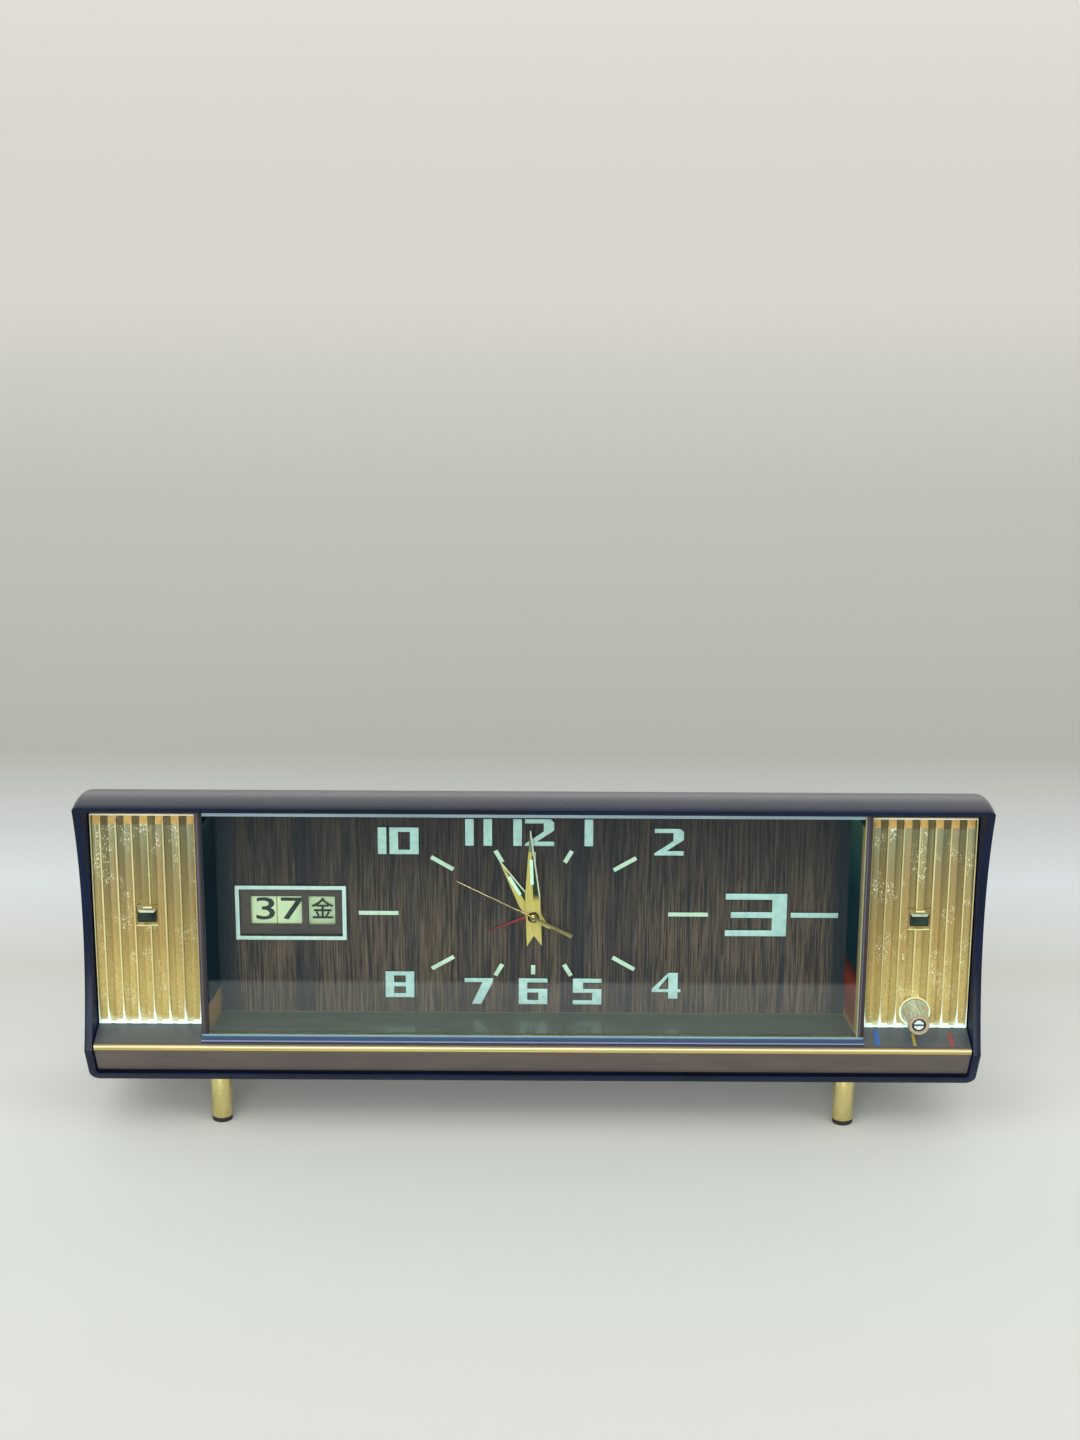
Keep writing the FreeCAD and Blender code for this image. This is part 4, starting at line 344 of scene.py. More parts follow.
def coat(piece, surfaces):
    # the faces keep their slot numbers
    slots = piece.data.materials
    while len(slots) < len(surfaces):
        slots.append(None)
    for number, surface in enumerate(surfaces):
        slots[number] = surface
    while len(slots) > len(surfaces):
        slots.pop()


def dress(piece, surfaces, body="root", smooth=32):
    pickPiece(piece)
    bpy.ops.object.shade_smooth_by_angle(angle=math.radians(smooth))
    coat(piece, surfaces)
    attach(piece, body)
    return piece


def paintFaces(piece, number, test):
    for face in piece.data.polygons:
        if test(face.center / mm, face.normal):
            face.material_index = number


def softCopies(rows, isWall=None):
    # copies with soft edges take the CAD nodes' places; their walls have the second finish,
    # or a row ends with the test for the faces that have it
    for nodeName, (name, width, steps, finishNames, slotName, *inner) in rows.items():
        surfaces = [finishes[finishName] for finishName in finishNames.split()]
        piece = copyNode(nodeName, name)
        coat(piece, surfaces)
        if isWall:
            paintFaces(piece, 0, anyFace)
            paintFaces(piece, 1, isWall)
        softenEdges(piece, width, steps)
        if inner:
            paintFaces(piece, 1, inner[0])
        dress(piece, surfaces, nodes[nodeName]["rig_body"])
        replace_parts(piece, nodeName)


# camera, floor and light

stageLook = {
    "cameraPlace": (2.27, -1006.8, 489.05), "cameraTilt": 72.113, "cameraRoll": 0.306,
    "lens": 87.32, "floorSize": 28.0, "cardNear": (-187.0, 156.0), "cardFar": (-1200.0, 290.0),
    "cardHeight": 0.5, "worldStrength": 1.55, "lampAim": (0, 0, 0.08),
    "lamps": {"key": ((-0.7, -0.7, 1.2), 1.1, 4.2), "fill": ((0.9, -0.65, 0.9), 0.9, 2.8),
              "top": ((0.0, -0.15, 1.5), 1.4, 2.2), "front": ((-0.2, -1.9, 0.6), 1.3, 18.5)},
}


def setCamera():
    bpy.ops.object.camera_add(location=[v * mm for v in stageLook["cameraPlace"]])
    camera = bpy.context.object
    camera.name = "camera"
    turn = Euler((math.radians(stageLook["cameraTilt"]), 0, 0)).to_matrix()
    roll = Euler((0, 0, math.radians(stageLook["cameraRoll"]))).to_matrix()
    camera.rotation_euler = (turn @ roll).to_euler()
    camera.data.sensor_fit = "HORIZONTAL"
    camera.data.sensor_width = 36
    camera.data.lens = stageLook["lens"]
    camera.data.clip_end = 60
    scene.camera = camera


def floorPaper():
    # a wide sheet of pale matt paper: cool grey where the clock stands, cream farther off; the
    # lighter patch at the clock is a painted pool of light, and the darker band half a metre behind
    # it a painted shadow
    material, tree = startMaterial("paleMattPaper", Roughness=0.85, Specular_IOR_Level=0.1)
    away = along(tree, "Y")
    for value, operation in ((0.5, "ADD"), (0.2, "MAXIMUM"), (10.0, "LOGARITHM")):
        away = addNode(tree, "Math", {0: away}, {1: value}, operation=operation).outputs[0]
    share = addNode(tree, "MapRange", {"Value": away},
                    {"From Min": -0.7, "From Max": 1.05}).outputs["Result"]
    ramp = addNode(tree, "ValToRGB", {"Fac": share}, stops=[
        (0.046, "#d1d2cc"), (0.165, "#d2d8d3"), (0.212, "#dcdfda"), (0.24, "#dcdfda"),
        (0.285, "#cdcdc6"), (0.326, "#d8dede"), (0.387, "#b4b4ac"), (0.412, "#b8b9b1"),
        (0.517, "#cbccc4"), (0.644, "#f0ede5"), (0.988, "#fffcf4")])
    return wire(material, Base_Color=ramp.outputs["Color"])


def addSheet(name, size, height, material):
    clearSelection()
    bpy.ops.mesh.primitive_plane_add(size=size, location=(0, 0, height * mm))
    sheet = settle(bpy.context.object)
    sheet.name = name
    sheet.data.materials.append(material)
    return sheet


def addFloor():
    addSheet("floor", stageLook["floorSize"], 0, floorPaper())


def addFlag():
    # a matt black card in front that only reflections and the window's glass see
    felt = startMaterial("blackFelt", Roughness=1.0, Base_Color=linear("#101010"))[0]
    card = addSheet("blackFlag", 2, stageLook["cardHeight"], felt)
    for corner in card.data.vertices:
        reach, half = stageLook["cardFar" if corner.co.y < 0 else "cardNear"]
        corner.co.x, corner.co.y = math.copysign(half * mm, corner.co.x), reach * mm
    for ray in ("camera", "diffuse", "shadow"):
        setattr(card, "visible_" + ray, False)


def addRoom():
    world = bpy.data.worlds.new("softRoom")
    scene.world = world
    world.use_nodes = True
    tree = world.node_tree
    place = addNode(tree, "TexCoord").outputs["Generated"]
    up = addNode(tree, "SeparateXYZ", {"Vector": place}).outputs["Z"]
    ramp = addNode(tree, "ValToRGB", {"Fac": up}, stops=[
        (0.0, "#f6f5f2"), (0.2, "#e2e0dc"), (0.5, "#bebebd"), (1.0, "#9e9fa0")])
    back = tree.nodes["Background"]
    tree.links.new(ramp.outputs["Color"], back.inputs["Color"])
    back.inputs["Strength"].default_value = stageLook["worldStrength"]


def addLamps():
    for name, (where, size, power) in stageLook["lamps"].items():
        clearSelection()
        bpy.ops.object.light_add(type="AREA", location=where)
        lamp = bpy.context.object
        lamp.name = name + "Softbox"
        lamp.data.shape = "DISK"
        lamp.data.size = size
        lamp.data.energy = power
        aim = Vector(where) - Vector(stageLook["lampAim"])
        lamp.rotation_euler = aim.to_track_quat("Z", "Y").to_euler()


setCamera()
addFloor()
addFlag()
addRoom()
addLamps()
scene.view_settings.view_transform = "Standard"
print("camera, floor and lights stand")


# finishes

finishLooks = {
    mouldedPlastic: {
        "navySatinAbs": {"tones": "#071429 #0a1933", "rough": 0.3, "grain": 0.35, "relief": 0.004,
            "coat": 0.08, "coatRough": 0.12, "ior": 1.25},
        "navyShadeAbs": {"tones": "#0c1838 #101f44", "rough": 0.55, "grain": 0.5, "relief": 0.006,
            "ior": 1.3},
        "blackAbs": {"tones": "#17181b #1f2024", "rough": 0.42, "grain": 0.3},
        "maskAbs": {"tones": "#4a423f #3c3738", "rough": 0.6},
        "creamDrumAbs": {"tones": "#cfe3bf #d9e6b6", "rough": 0.5, "relief": 0.006,
            "clouds": (5, 5, 5)},
        "pressedBoard": {"tones": "#221d1a #2c2521", "rough": 0.75, "grain": 0.7, "relief": 0.05,
            "clouds": (12, 12, 12)},
        "blackRubber": {"tones": "#141414 #1c1b1a", "rough": 0.8, "relief": 0.02},
        "paleBeadPaintedHighlight": {"tones": "#7d97a3 #8ba4ad", "rough": 0.4, "grain": 0.6, "relief": 0.01,
            "clouds": (30, 3, 3)},
    },
    workedMetal: {
        "brushedBrassLeg": {"tones": "#d6c884 #e2d698 #9a8a52", "rough": 0.27,
            "lines": (0.3, 0.3, 8), "metallic": 0.92},
        "movementBrass": {"tones": "#b9984d #c7a95f #8d7238", "rough": 0.32, "lines": (0.25, 6, 6),
            "relief": 0.006},
        "turnedSteel": {"tones": "#9a9a9a #aaa9a6 #77756f", "rough": 0.3, "lines": (3, 3, 0.25),
            "relief": 0.006},
        "chromedBell": {"tones": "#c4c6c8 #d2d3d4 #a5a7a8", "rough": 0.1, "lines": (4, 4, 4),
            "spread": 0.04, "relief": 0.002},
        "nickelKey": {"tones": "#b6ab93 #c3b9a4 #8b816c", "rough": 0.26, "lines": (2, 2, 0.3),
            "relief": 0.006},
        "zincScrew": {"tones": "#8d8c86 #9c9b94 #6e6d68", "rough": 0.35, "lines": (0.4, 3, 3)},
        # the studs' chrome is painted dark green-black as a painted reflection of the dark room,
        # and its pale copy on their top facets is a painted highlight
        "chromePaintedReflection": {"tones": "#26362f #31453c #1a2622", "rough": 0.2, "metallic": 0.6,
            "lines": (3, 3, 3), "spread": 0.05, "relief": 0.002},
        "chromePaintedHighlight": {"tones": "#a9b79c #bcc8ac #7d8c74", "rough": 0.25, "metallic": 0.3,
            "lines": (3, 3, 3), "spread": 0.05, "relief": 0.002},
        "oliveGilt": {"tones": "#a3945a #b0a268 #857748", "rough": 0.3, "metallic": 0.7,
            "lines": (14, 0.3, 0.3), "spread": 0.05, "relief": 0.003},
        "paleGilt": {"tones": "#b9a978 #c8b888 #8d7f58", "rough": 0.22, "lines": (2, 0.3, 2),
            "spread": 0.05, "relief": 0.003},
        "bronzedRing": {"tones": "#4c4224 #5a4e2c #2e2816", "rough": 0.3, "lines": (1, 1, 1)},
    },
    printedPaint: {
        "mintPrint": {"tones": "#b9dad6 #a6cac8"},
        "frameMintPrint": {"tones": "#cfe3e0 #bcd6d4"},
        # the darker side walls of the raised print are painted shade
        "tealEdgePrint": {"tones": "#2b5a50 #1d4740", "rough": 0.6},
        "luminousPaint": {"tones": "#cbe3cf #b7d6bd", "rough": 0.7, "relief": 0.02},
        "greenEdgePaint": {"tones": "#274632 #1b3426", "rough": 0.7},
        "alarmRedPaint": {"tones": "#8e3038 #7d2632", "rough": 0.35},
        # the hand lume gives off a little light of its own: a painted glow
        "handLume": {"tones": "#d3f2d8 #c0e8c8", "rough": 0.6, "glow": 0.12},
        "drumInk": {"tones": "#14302c #0f2724"},
        "sandyRim": {"tones": "#9c8c70 #ab9c80", "relief": 0.02},
        # the knob core's white is a painted glint
        "paintedWhiteGlint": {"tones": "#dfeeee #8fa3a3", "rough": 0.15, "patches": 1.2},
    },
}


def woodGrainPrint():
    # lithographed sheet: straight grain along z, fine tan strokes over broad blue-black bands
    material, tree = startMaterial("woodGrainPrint", Roughness=0.5, Specular_IOR_Level=0.15)
    fine = mottle(tree, (0.5, 3, 18), 2.0)
    streak = mottle(tree, (1.3, 3, 60), 3.0, 0.6)
    band = mottle(tree, (9, 3, 400), 2.0, 0.5)
    away = addNode(tree, "Math", {0: along(tree, "X")}, operation="ABSOLUTE").outputs[0]
    base = addNode(tree, "ValToRGB", {"Fac": streak}, stops=[
        (0.32, "#363840"), (0.44, "#48403c"), (0.56, "#574b41"), (0.7, "#66584b")]).outputs["Color"]
    # darker towards the top (#1a1e26 from z 70 to 125 mm) and along the left and right edges
    # (#1d2a34): painted shade from the rim and the tunnel walls
    return wire(material, Base_Color=lay(
        tree, base, ("#2a2a30", fine, 0.52, 0.62, 0.85), ("#75665a", fine, 0.47, 0.37, 0.55),
        ("#262a36", band, 0.5, 0.64, 0.65), ("#1a1e26", "Z", 70, 125, 0.6),
        ("#1d2a34", away, 118 * mm, 125 * mm, 0.9)))


def tunnelLacquer():
    # grey-green gloss lacquer on the walls between glass and dial
    material, tree = startMaterial("tunnelLacquer", Roughness=0.2, IOR=1.4)
    # the walls darken from z 50 to 90 mm towards #141c24: painted shade under the rim
    return wire(material, Base_Color=lay(
        tree, "#4e5b53", ("#58645b", mottle(tree, (20, 6, 20)), 0.35, 0.7),
        ("#7b7d68", "Y", -17.6, -17.0, 0.6), ("#141c24", "Z", 50, 90)))


def paintedReflectionPlates():
    # plates painted with their reflections: blue-black above, where they mirror the dark room,
    # bronze and red-brown towards their feet, where they mirror the table and something red in
    # front
    material, tree = startMaterial("paintedReflectionPlates", Roughness=0.5, Specular_IOR_Level=0.0)
    left = grade(tree, along(tree, "Z"), [
        (43.1, "#7d6c4c"), (50, "#8f6f4a"), (54.6, "#87694a"), (55.4, "#0d2836"), (110, "#0c2633"),
        (128, "#18343e"), (132.5, "#2c4c4e")])
    right = grade(tree, along(tree, "Z"), [
        (43.1, "#96825a"), (46, "#7a4a34"), (52, "#6d3a2c"), (62, "#87392f"), (68, "#4a2626"),
        (71, "#12303c"), (100, "#123340"), (115, "#274a4c"), (127, "#3d5c54"), (132.5, "#4c6c60")])
    left = lay(tree, left, ("#3c4a58", "Y", -19.5, -18, 0.7))
    right = lay(tree, right, ("#a8976c", "Y", -33.5, -35, 0.8))
    return wire(material, Base_Color=lay(
        tree, left, (right, "X", -1, 1), ("#0c1216", mottle(tree, (3, 3, 14)), 0.5, 0.8, 0.25)))


def bezelAbs():
    # gloss moulding, brown at the sides and blue below; its thin pale, lilac, cyan and tan lines
    # along the edges and the pale line along the top are painted highlights
    material, tree = startMaterial("bezelAbs", Roughness=0.25, IOR=1.4)
    height = along(tree, "Z")
    away = addNode(tree, "Math", {0: along(tree, "X")}, operation="ABSOLUTE").outputs[0]
    left = grade(tree, away, [
        (130.5, "#28333c"), (130.92, "#25262b"), (131.7, "#332c2e"), (132.3, "#3f3637"),
        (132.6, "#5a5866"), (132.9, "#3f3739"), (133.5, "#4b4140")])
    right = grade(tree, away, [
        (130.5, "#9a946f"), (130.95, "#8e886a"), (131.16, "#303a3c"), (131.64, "#3f4b4c"),
        (131.88, "#5a586a"), (132.12, "#30272a"), (133.5, "#382d2e")])
    below = grade(tree, height, [
        (40.5, "#8f9cc0"), (40.75, "#8792b8"), (40.95, "#42526f"), (42.1, "#475a76"),
        (42.45, "#6c93a8"), (42.9, "#84acb8"), (43.15, "#5b6a70")])
    above = grade(tree, height, [
        (137.9, "#3c4c58"), (138.15, "#7a8f9a"), (138.75, "#75899a"), (139.05, "#26304a"),
        (140.1, "#1a2440")])
    return wire(material, Base_Color=lay(
        tree, left, (right, "X", -1, 1), (below, "Z", 43.3, 43.1), (above, "Z", 137.8, 138.0),
        ("#20242e", mottle(tree, (1.2, 1.2, 6)), 0.5, 0.8, 0.2)))


def fasciaLacquer():
    # satin brown lacquer over the moulded front, faintly brushed along x
    material, tree = startMaterial("fasciaLacquer", Roughness=0.4, IOR=1.5)
    lines, clouds = mottle(tree, (30, 0.5, 0.5), 4.0), mottle(tree, (26, 10, 10))
    # the bluish grey above z 41 mm is a painted reflection on the sill, and the dark navy below z
    # 26.5 mm is a painted shade line under the chin
    colour = lay(tree, "#514845", ("#5a504b", clouds, 0.35, 0.7),
                 ("#6e6259", lines, 0.55, 0.8, 0.35), ("#525e68", "Z", 40.9, 41.3, 0.8),
                 ("#0f1422", "Z", 26.7, 26.2))
    relief(material, lines, 0.006)
    return wire(material, Base_Color=colour, Roughness=fade(tree, lines, 0.3, 0.7, 0.48, 0.32))


def windowGlass():
    # float glass; lamps and room light shine through it on to the dial
    material, tree = startMaterial("windowGlass", Roughness=0.0, IOR=1.46, Transmission_Weight=1.0,
                                   Base_Color=linear("#f8fdfb"))
    clear = addNode(tree, "BsdfTransparent", values={"Color": linear("#f6fbf9")})
    path = addNode(tree, "LightPath")
    surface = tree.nodes["Principled BSDF"].outputs["BSDF"]
    for ray in ("Is Shadow Ray", "Is Diffuse Ray"):
        surface = addNode(tree, "MixShader", {0: path.outputs[ray], 1: surface,
                                              2: clear.outputs["BSDF"]}).outputs[0]
    tree.links.new(surface, tree.nodes["Material Output"].inputs["Surface"])
    return material


def stripGilt():
    # rolled gilt strip: its upper half bright, a painted highlight of the light from above, the
    # lower half olive
    material, tree = startMaterial("stripGilt", Metallic=0.3, Roughness=0.3)
    gilt = grade(tree, along(tree, "Z"), [
        (38.7, "#84763f"), (39.2, "#a89a58"), (39.6, "#b5a860"), (39.75, "#efe6b8"),
        (40.5, "#f4edc6"), (40.7, "#dccf98")])
    return wire(material, Base_Color=lay(
        tree, gilt, ("#a38d50", mottle(tree, (25, 0.4, 0.4)), 0.5, 0.8, 0.3)))


def apronLacquer():
    # blue lacquer on the sill's apron; the lavender line along its front edge is a painted
    # highlight
    material, tree = startMaterial("apronLacquer", Roughness=0.3, IOR=1.4)
    blue = grade(tree, along(tree, "Y"), [
        (-44.3, "#1a2034"), (-43.87, "#242b44"), (-43.612, "#8f9cc0"), (-42.924, "#8792b8"),
        (-42.58, "#42526f"), (-40.43, "#465977"), (-40.0, "#557088")])
    return wire(material, Base_Color=lay(
        tree, blue, ("#2a3450", mottle(tree, (18, 0.6, 0.6)), 0.5, 0.8, 0.25)))


def flutedGilt(name, paintedShade=0.0):
    # gilt foil under clear lacquer: olive at the top, warm gold below, grain along z, worn specks,
    # and a pale band at the foot that is a painted highlight
    material, tree = startMaterial(name, Metallic=0.35, Roughness=0.36)
    fine = mottle(tree, (0.5, 0.5, 9), 4.0, 0.7)
    stripe = mottle(tree, (1.6, 1.6, 120), 2.0, 0.5)
    sand = mottle(tree, (0.55, 0.55, 1.1), 3.0, 0.7)
    specks = mottle(tree, (0.6, 0.6, 0.7), 2.0, 0.8)
    where = mottle(tree, (8, 8, 11), 2.0, 0.5)
    worn = addNode(tree, "Math", {0: fade(tree, specks, 0.57, 0.63),
                                  1: fade(tree, where, 0.52, 0.6)}, operation="MULTIPLY")
    upwards = fade(tree, along(tree, "Z"), 47 * mm, 134 * mm)
    tone = addNode(tree, "ValToRGB", {"Fac": upwards}, stops=[
        (0.0, "#ccba70"), (0.3, "#ab9759"), (0.6, "#928451"), (0.88, "#79754e"), (1.0, "#6e7659")])
    colour = lay(tree, tone.outputs["Color"], ("#8a7033", fine, 0.5, 0.75, 0.5),
                 ("#cfbd78", stripe, 0.5, 0.72, 0.3), ("#a8803f", stripe, 0.46, 0.3, 0.32),
                 ("#6f6438", sand, 0.5, 0.66, 0.4), ("#e6e8c4", worn.outputs[0]),
                 ("#eef2cf", "Z", 47.2, 44.6, 0.55))
    # the grooves' copy is darker all over and dark brown at the top: painted shade in the grooves
    if paintedShade:
        colour = lay(tree, colour, ("#4d4420", paintedShade), ("#57481f", "Z", 128.6, 129.4, 0.7))
    relief(material, fine, 0.02)
    return wire(material, Base_Color=colour, Roughness=fade(tree, fine, 0.25, 0.75, 0.46, 0.28))


def paintedHighlightGlow():
    # the ribs' cut edges as painted highlights: pale, brightest at the top, with a painted glow of
    # pale green towards the bottom that gives off light though it is no lamp
    material, tree = startMaterial("paintedHighlightGlow", Roughness=0.2, IOR=1.5)
    glow = fade(tree, along(tree, "Z"), 58 * mm, 45.5 * mm)
    colour = lay(tree, "#d3cf94", ("#e6fff2", glow), ("#f4f0d4", "Z", 133.2, 133.45),
                 ("#d2c88a", mottle(tree, (2, 2, 5)), 0.55, 0.75, 0.4))
    return wire(material, Base_Color=colour, Emission_Color=colour,
                Emission_Strength=fade(tree, glow, 0.0, 1.0, 0.3, 0.06))


def ribCapGilt():
    # sloped tops of the ribs, painted a lighter gold: a painted highlight of the light from above
    material, tree = startMaterial("ribCapGilt", Metallic=0.2, Roughness=0.45)
    return wire(material, Base_Color=lay(
        tree, "#b8974c", ("#a58740", mottle(tree, (2, 2, 2)), 0.35, 0.7)))


def clearKnobAcrylic():
    # clear acrylic over a silvered back: pale green-white, bright on its shoulders
    material, tree = startMaterial("clearKnobAcrylic", Roughness=0.14, IOR=1.49, Metallic=0.35,
                                   Coat_Weight=1.0)
    lines = mottle(tree, (0.8, 8, 0.8))
    relief(material, lines, 0.03)
    return wire(material, Base_Color=lay(tree, "#a0b5aa", ("#cfddd2", lines, 0.4, 0.6)))


finishes = {name: make(name, look) for make, looks in finishLooks.items()
            for name, look in looks.items()}
for make in (woodGrainPrint, tunnelLacquer, paintedReflectionPlates, bezelAbs, fasciaLacquer, windowGlass,
             stripGilt, apronLacquer, paintedHighlightGlow, ribCapGilt, clearKnobAcrylic):
    finishes[make.__name__] = make()

nodeFinish = {
    "movementBrass": "front_plate back_plate music_bedplate cannon_pinion hour_wheel minute_wheel "
                     "alarm_wheel fourth_wheel centre_wheel third_wheel escape_wheel time_barrel "
                     "alarm_barrel balance_wheel music_cylinder",
    "turnedSteel": "calendar_bracket calendar_axles selector_bushing movement_pillars bell_stand "
                   "music_comb music_governor pallet_lever alarm_hammer",
    "blackAbs": "time_set_knob alarm_set_knob tens_thumbwheel units_thumbwheel weekday_thumbwheel",
    "creamDrumAbs": "tens_drum units_drum weekday_drum", "chromedBell": "alarm_bell",
    "maskAbs": "calendar_mask", "woodGrainPrint": "dial_plate", "tunnelLacquer": "dial_tunnel",
    "windowGlass": "window_glass", "fasciaLacquer": "front_fascia",
    "paintedReflectionPlates": "side_reflectors"}
for finishName, nodeNames in nodeFinish.items():
    for nodeName in nodeNames.split():
        nodes[nodeName].data.materials.clear()
        nodes[nodeName].data.materials.append(finishes[finishName])
print("finishes are on the nodes that stay as they are")


# case, trim and legs

def softCase():
    # the moulded edges are a little round, so they catch a thin line of light
    softCopies({
        # the inner faces of the side walls get navyShadeAbs, a matt copy of the navy for faces that
        # lie in shade: painted shade
        "case_shell": ("caseShell", 0.25, 3, "navySatinAbs navyShadeAbs", "case_plastic",
                       lambda at, normal: abs(at.x) > 170 and normal.x * at.x < -20),
        "window_bezel": ("windowBezel", 0.25, 2, "bezelAbs oliveGilt", "bezel_plastic",
                         lambda at, normal: topFace(at, normal) and at.z < 44),
        "gold_trim_strip": ("goldTrimStrip", 0.2, 2, "stripGilt", "gold_trim"),
        "legs": ("brassLegs", 0.3, 2, "brushedBrassLeg", "leg_brass"),
        "leg_tips": ("rubberTips", 0.3, 2, "blackRubber", "tip_rubber"),
        "rear_cover": ("rearCover", 0.3, 2, "pressedBoard", "cover_plastic")})


def onSill(piece):
    # the sill slopes up from its front edge to the panels
    front, rear = (-45.0, 41.0), (-28.8, 43.7)
    rise = (rear[1] - front[1]) / (rear[0] - front[0])
    for vertex in piece.data.vertices:
        vertex.co.z += (front[1] + (vertex.co.y / mm - front[0]) * rise) * mm
    return piece


def windowTrim():
    look = {"half": 133.5, "apronFront": -44.3, "bezelFront": -40.0, "apronHigh": 0.35,
            "beadHalf": 130.4, "beadLow": 136.5, "beadHigh": 137.9, "beadRear": -38.9}
    apron = onSill(addBlock("windowApron", (-look["half"], look["apronFront"], 0),
                            (look["half"], look["bezelFront"], look["apronHigh"])))
    softenEdges(apron, 0.12)
    dress(apron, [finishes["apronLacquer"]])
    # a pale bead seals the glass under the top member; its pale colour is a painted highlight of
    # the line of light along the edge
    bead = addBlock("glassBead", (-look["beadHalf"], look["bezelFront"], look["beadLow"]),
                    (look["beadHalf"], look["beadRear"], look["beadHigh"]))
    softenEdges(bead, 0.2)
    dress(bead, [finishes["paleBeadPaintedHighlight"]])


def fasciaMarks():
    # three small paint strokes on the sill show the selector's positions
    look = {"film": 0.08, "strokes": {"Blue": (139.1, 2.1, -43.6, -33.0, "#2c67ab #2c67ab"),
                                      "Yellow": (153.9, 1.2, -43.6, -35.5, "#b9a445 #b9a445"),
                                      "Red": (168.9, 1.7, -43.8, -34.0, "#95494a #95494a")}}
    for name, (x, width, front, rear, colour) in look["strokes"].items():
        paint = printedPaint("sillPaint" + name, {"tones": colour, "rough": 0.45})
        stroke = onSill(addBlock("sillMark" + name, (x - width / 2, front, 0),
                                 (x + width / 2, rear, look["film"])))
        dress(stroke, [paint])


# fluted panels

def flutedPanels():
    # ribs on a plate, a foot and a pale peak to each rib, and thin lines around; the blocks are the
    # left panel's, and the right one mirrors them
    look = {"blocks": {"plate": ((-176.3, -29.8, 44.5), (-133.5, -28.8, 135.5)),
                       "rib": ((-175.3, -31.0, 43.7), (-172.0, -29.7, 133.5)),
                       "ribFoot": ((-175.8, -31.4, 43.7), (-171.4, -29.75, 45.4)),
                       "ribPeak": ((-172.9, -31.15, 44.5), (-171.5, -29.7, 48.7)),
                       "topLine": ((-176.3, -30.9, 133.4), (-133.5, -29.8, 134.0)),
                       "innerRim": ((-134.1, -31.1, 44.0), (-133.5, -29.8, 133.6)),
                       "outerRim": ((-176.3, -30.8, 44.0), (-175.9, -29.8, 133.6)),
                       "footLine": ((-176.3, -31.2, 43.7), (-133.5, -29.8, 44.4))},
            "ribs": 7, "pitch": 6.25, "capFrom": 133, "capHeight": 3.6, "edgeWidth": 0.5,
            "footTop": (0.72, 0.75, 1), "peakTop": (0.3, 1, 1), "middle": 154.9, "cutFront": -34,
            "cutRear": -26, "knobLevel": 50.7, "knobHole": 6.0, "pocketHalf": 4.3,
            "pocketRear": -29.7, "pocket": (86.9, 94.9),
            "peakCuts": (((152.0, 44.0), (155.5, 57.0)), ((158.5, 46.6), (161.0, 57.0)))}
    parts = [addBlock(name, *ends) for name, ends in look["blocks"].items()]
    plate, rib, foot, peak = parts[:4]
    front, right = rib.bound_box[0][1] / mm, rib.bound_box[4][0] / mm
    with picked(rib, "VERT", lambda at: near(at.y, front) and at.z > look["capFrom"]):
        bpy.ops.transform.translate(value=(0, 0, -look["capHeight"] * mm))
    with picked(rib, "EDGE", lambda at, way:
                near(at.x, right) and near(at.y, front) and abs(way.z) > 0.9):
        bpy.ops.mesh.bevel(offset=look["edgeWidth"] * mm, segments=1, affect="EDGES")
    for piece, top in ((foot, look["footTop"]), (peak, look["peakTop"])):
        with picked(piece, "FACE", topFace):
            bpy.ops.transform.resize(value=top)
    # the ribs' right edges and the feet, peaks and thin lines are painted highlights, the rib tops
    # a lighter painted highlight, and the plate between the ribs a darker copy for painted shade
    surfaces = [flutedGilt("flutedGilt"), finishes["paintedHighlightGlow"], finishes["ribCapGilt"],
                flutedGilt("flutedGroove", 0.16)]
    for piece in parts:
        coat(piece, surfaces)
    for piece in parts[2:]:
        paintFaces(piece, 1, anyFace)
    paintFaces(plate, 3, frontFace)
    paintFaces(rib, 2, lambda at, normal: normal.z > 0.3)
    paintFaces(rib, 1, lambda at, normal: normal.x > 0.5 and normal.y < -0.2)
    for piece in (rib, foot, peak):
        applyModifier(piece, "ARRAY", count=look["ribs"], use_relative_offset=False,
                      use_constant_offset=True, constant_offset_displace=(look["pitch"] * mm, 0, 0))
    mirrored = []
    for piece in parts:
        twin = duplicate(piece, piece.name + "Right")
        twin.scale = (-1, 1, 1)
        settle(twin)
        with picked(twin, "FACE", anyFace):
            bpy.ops.mesh.normals_make_consistent(inside=False)
        mirrored.append(twin)
    for side, sideName, pieces in ((-1, "Left", parts), (1, "Right", mirrored)):
        x, (pocketLow, pocketHigh) = side * look["middle"], look["pocket"]
        cutAway(pieces[1], addBlock("pocket", (x - look["pocketHalf"], look["cutFront"], pocketLow),
                                    (x + look["pocketHalf"], look["pocketRear"], pocketHigh)))
        if side > 0:
            for piece in pieces[:3] + pieces[-1:]:
                cutAway(piece, addBar("hole", (x, look["knobLevel"]), look["cutFront"],
                                      look["cutRear"], look["knobHole"]))
            # the peaks by the hole are cut square, which leaves no slivers
            for start, end in look["peakCuts"]:
                cutAway(pieces[3], addBlock("hole", (start[0], look["cutFront"], start[1]),
                                            (end[0], look["cutRear"], end[1])))
        panel = joinPieces("flutedPanel" + sideName, pieces)
        softenEdges(panel, 0.08, 1, 40)
        dress(panel, surfaces)
        if side < 0:
            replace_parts(panel, "fluted_panels")


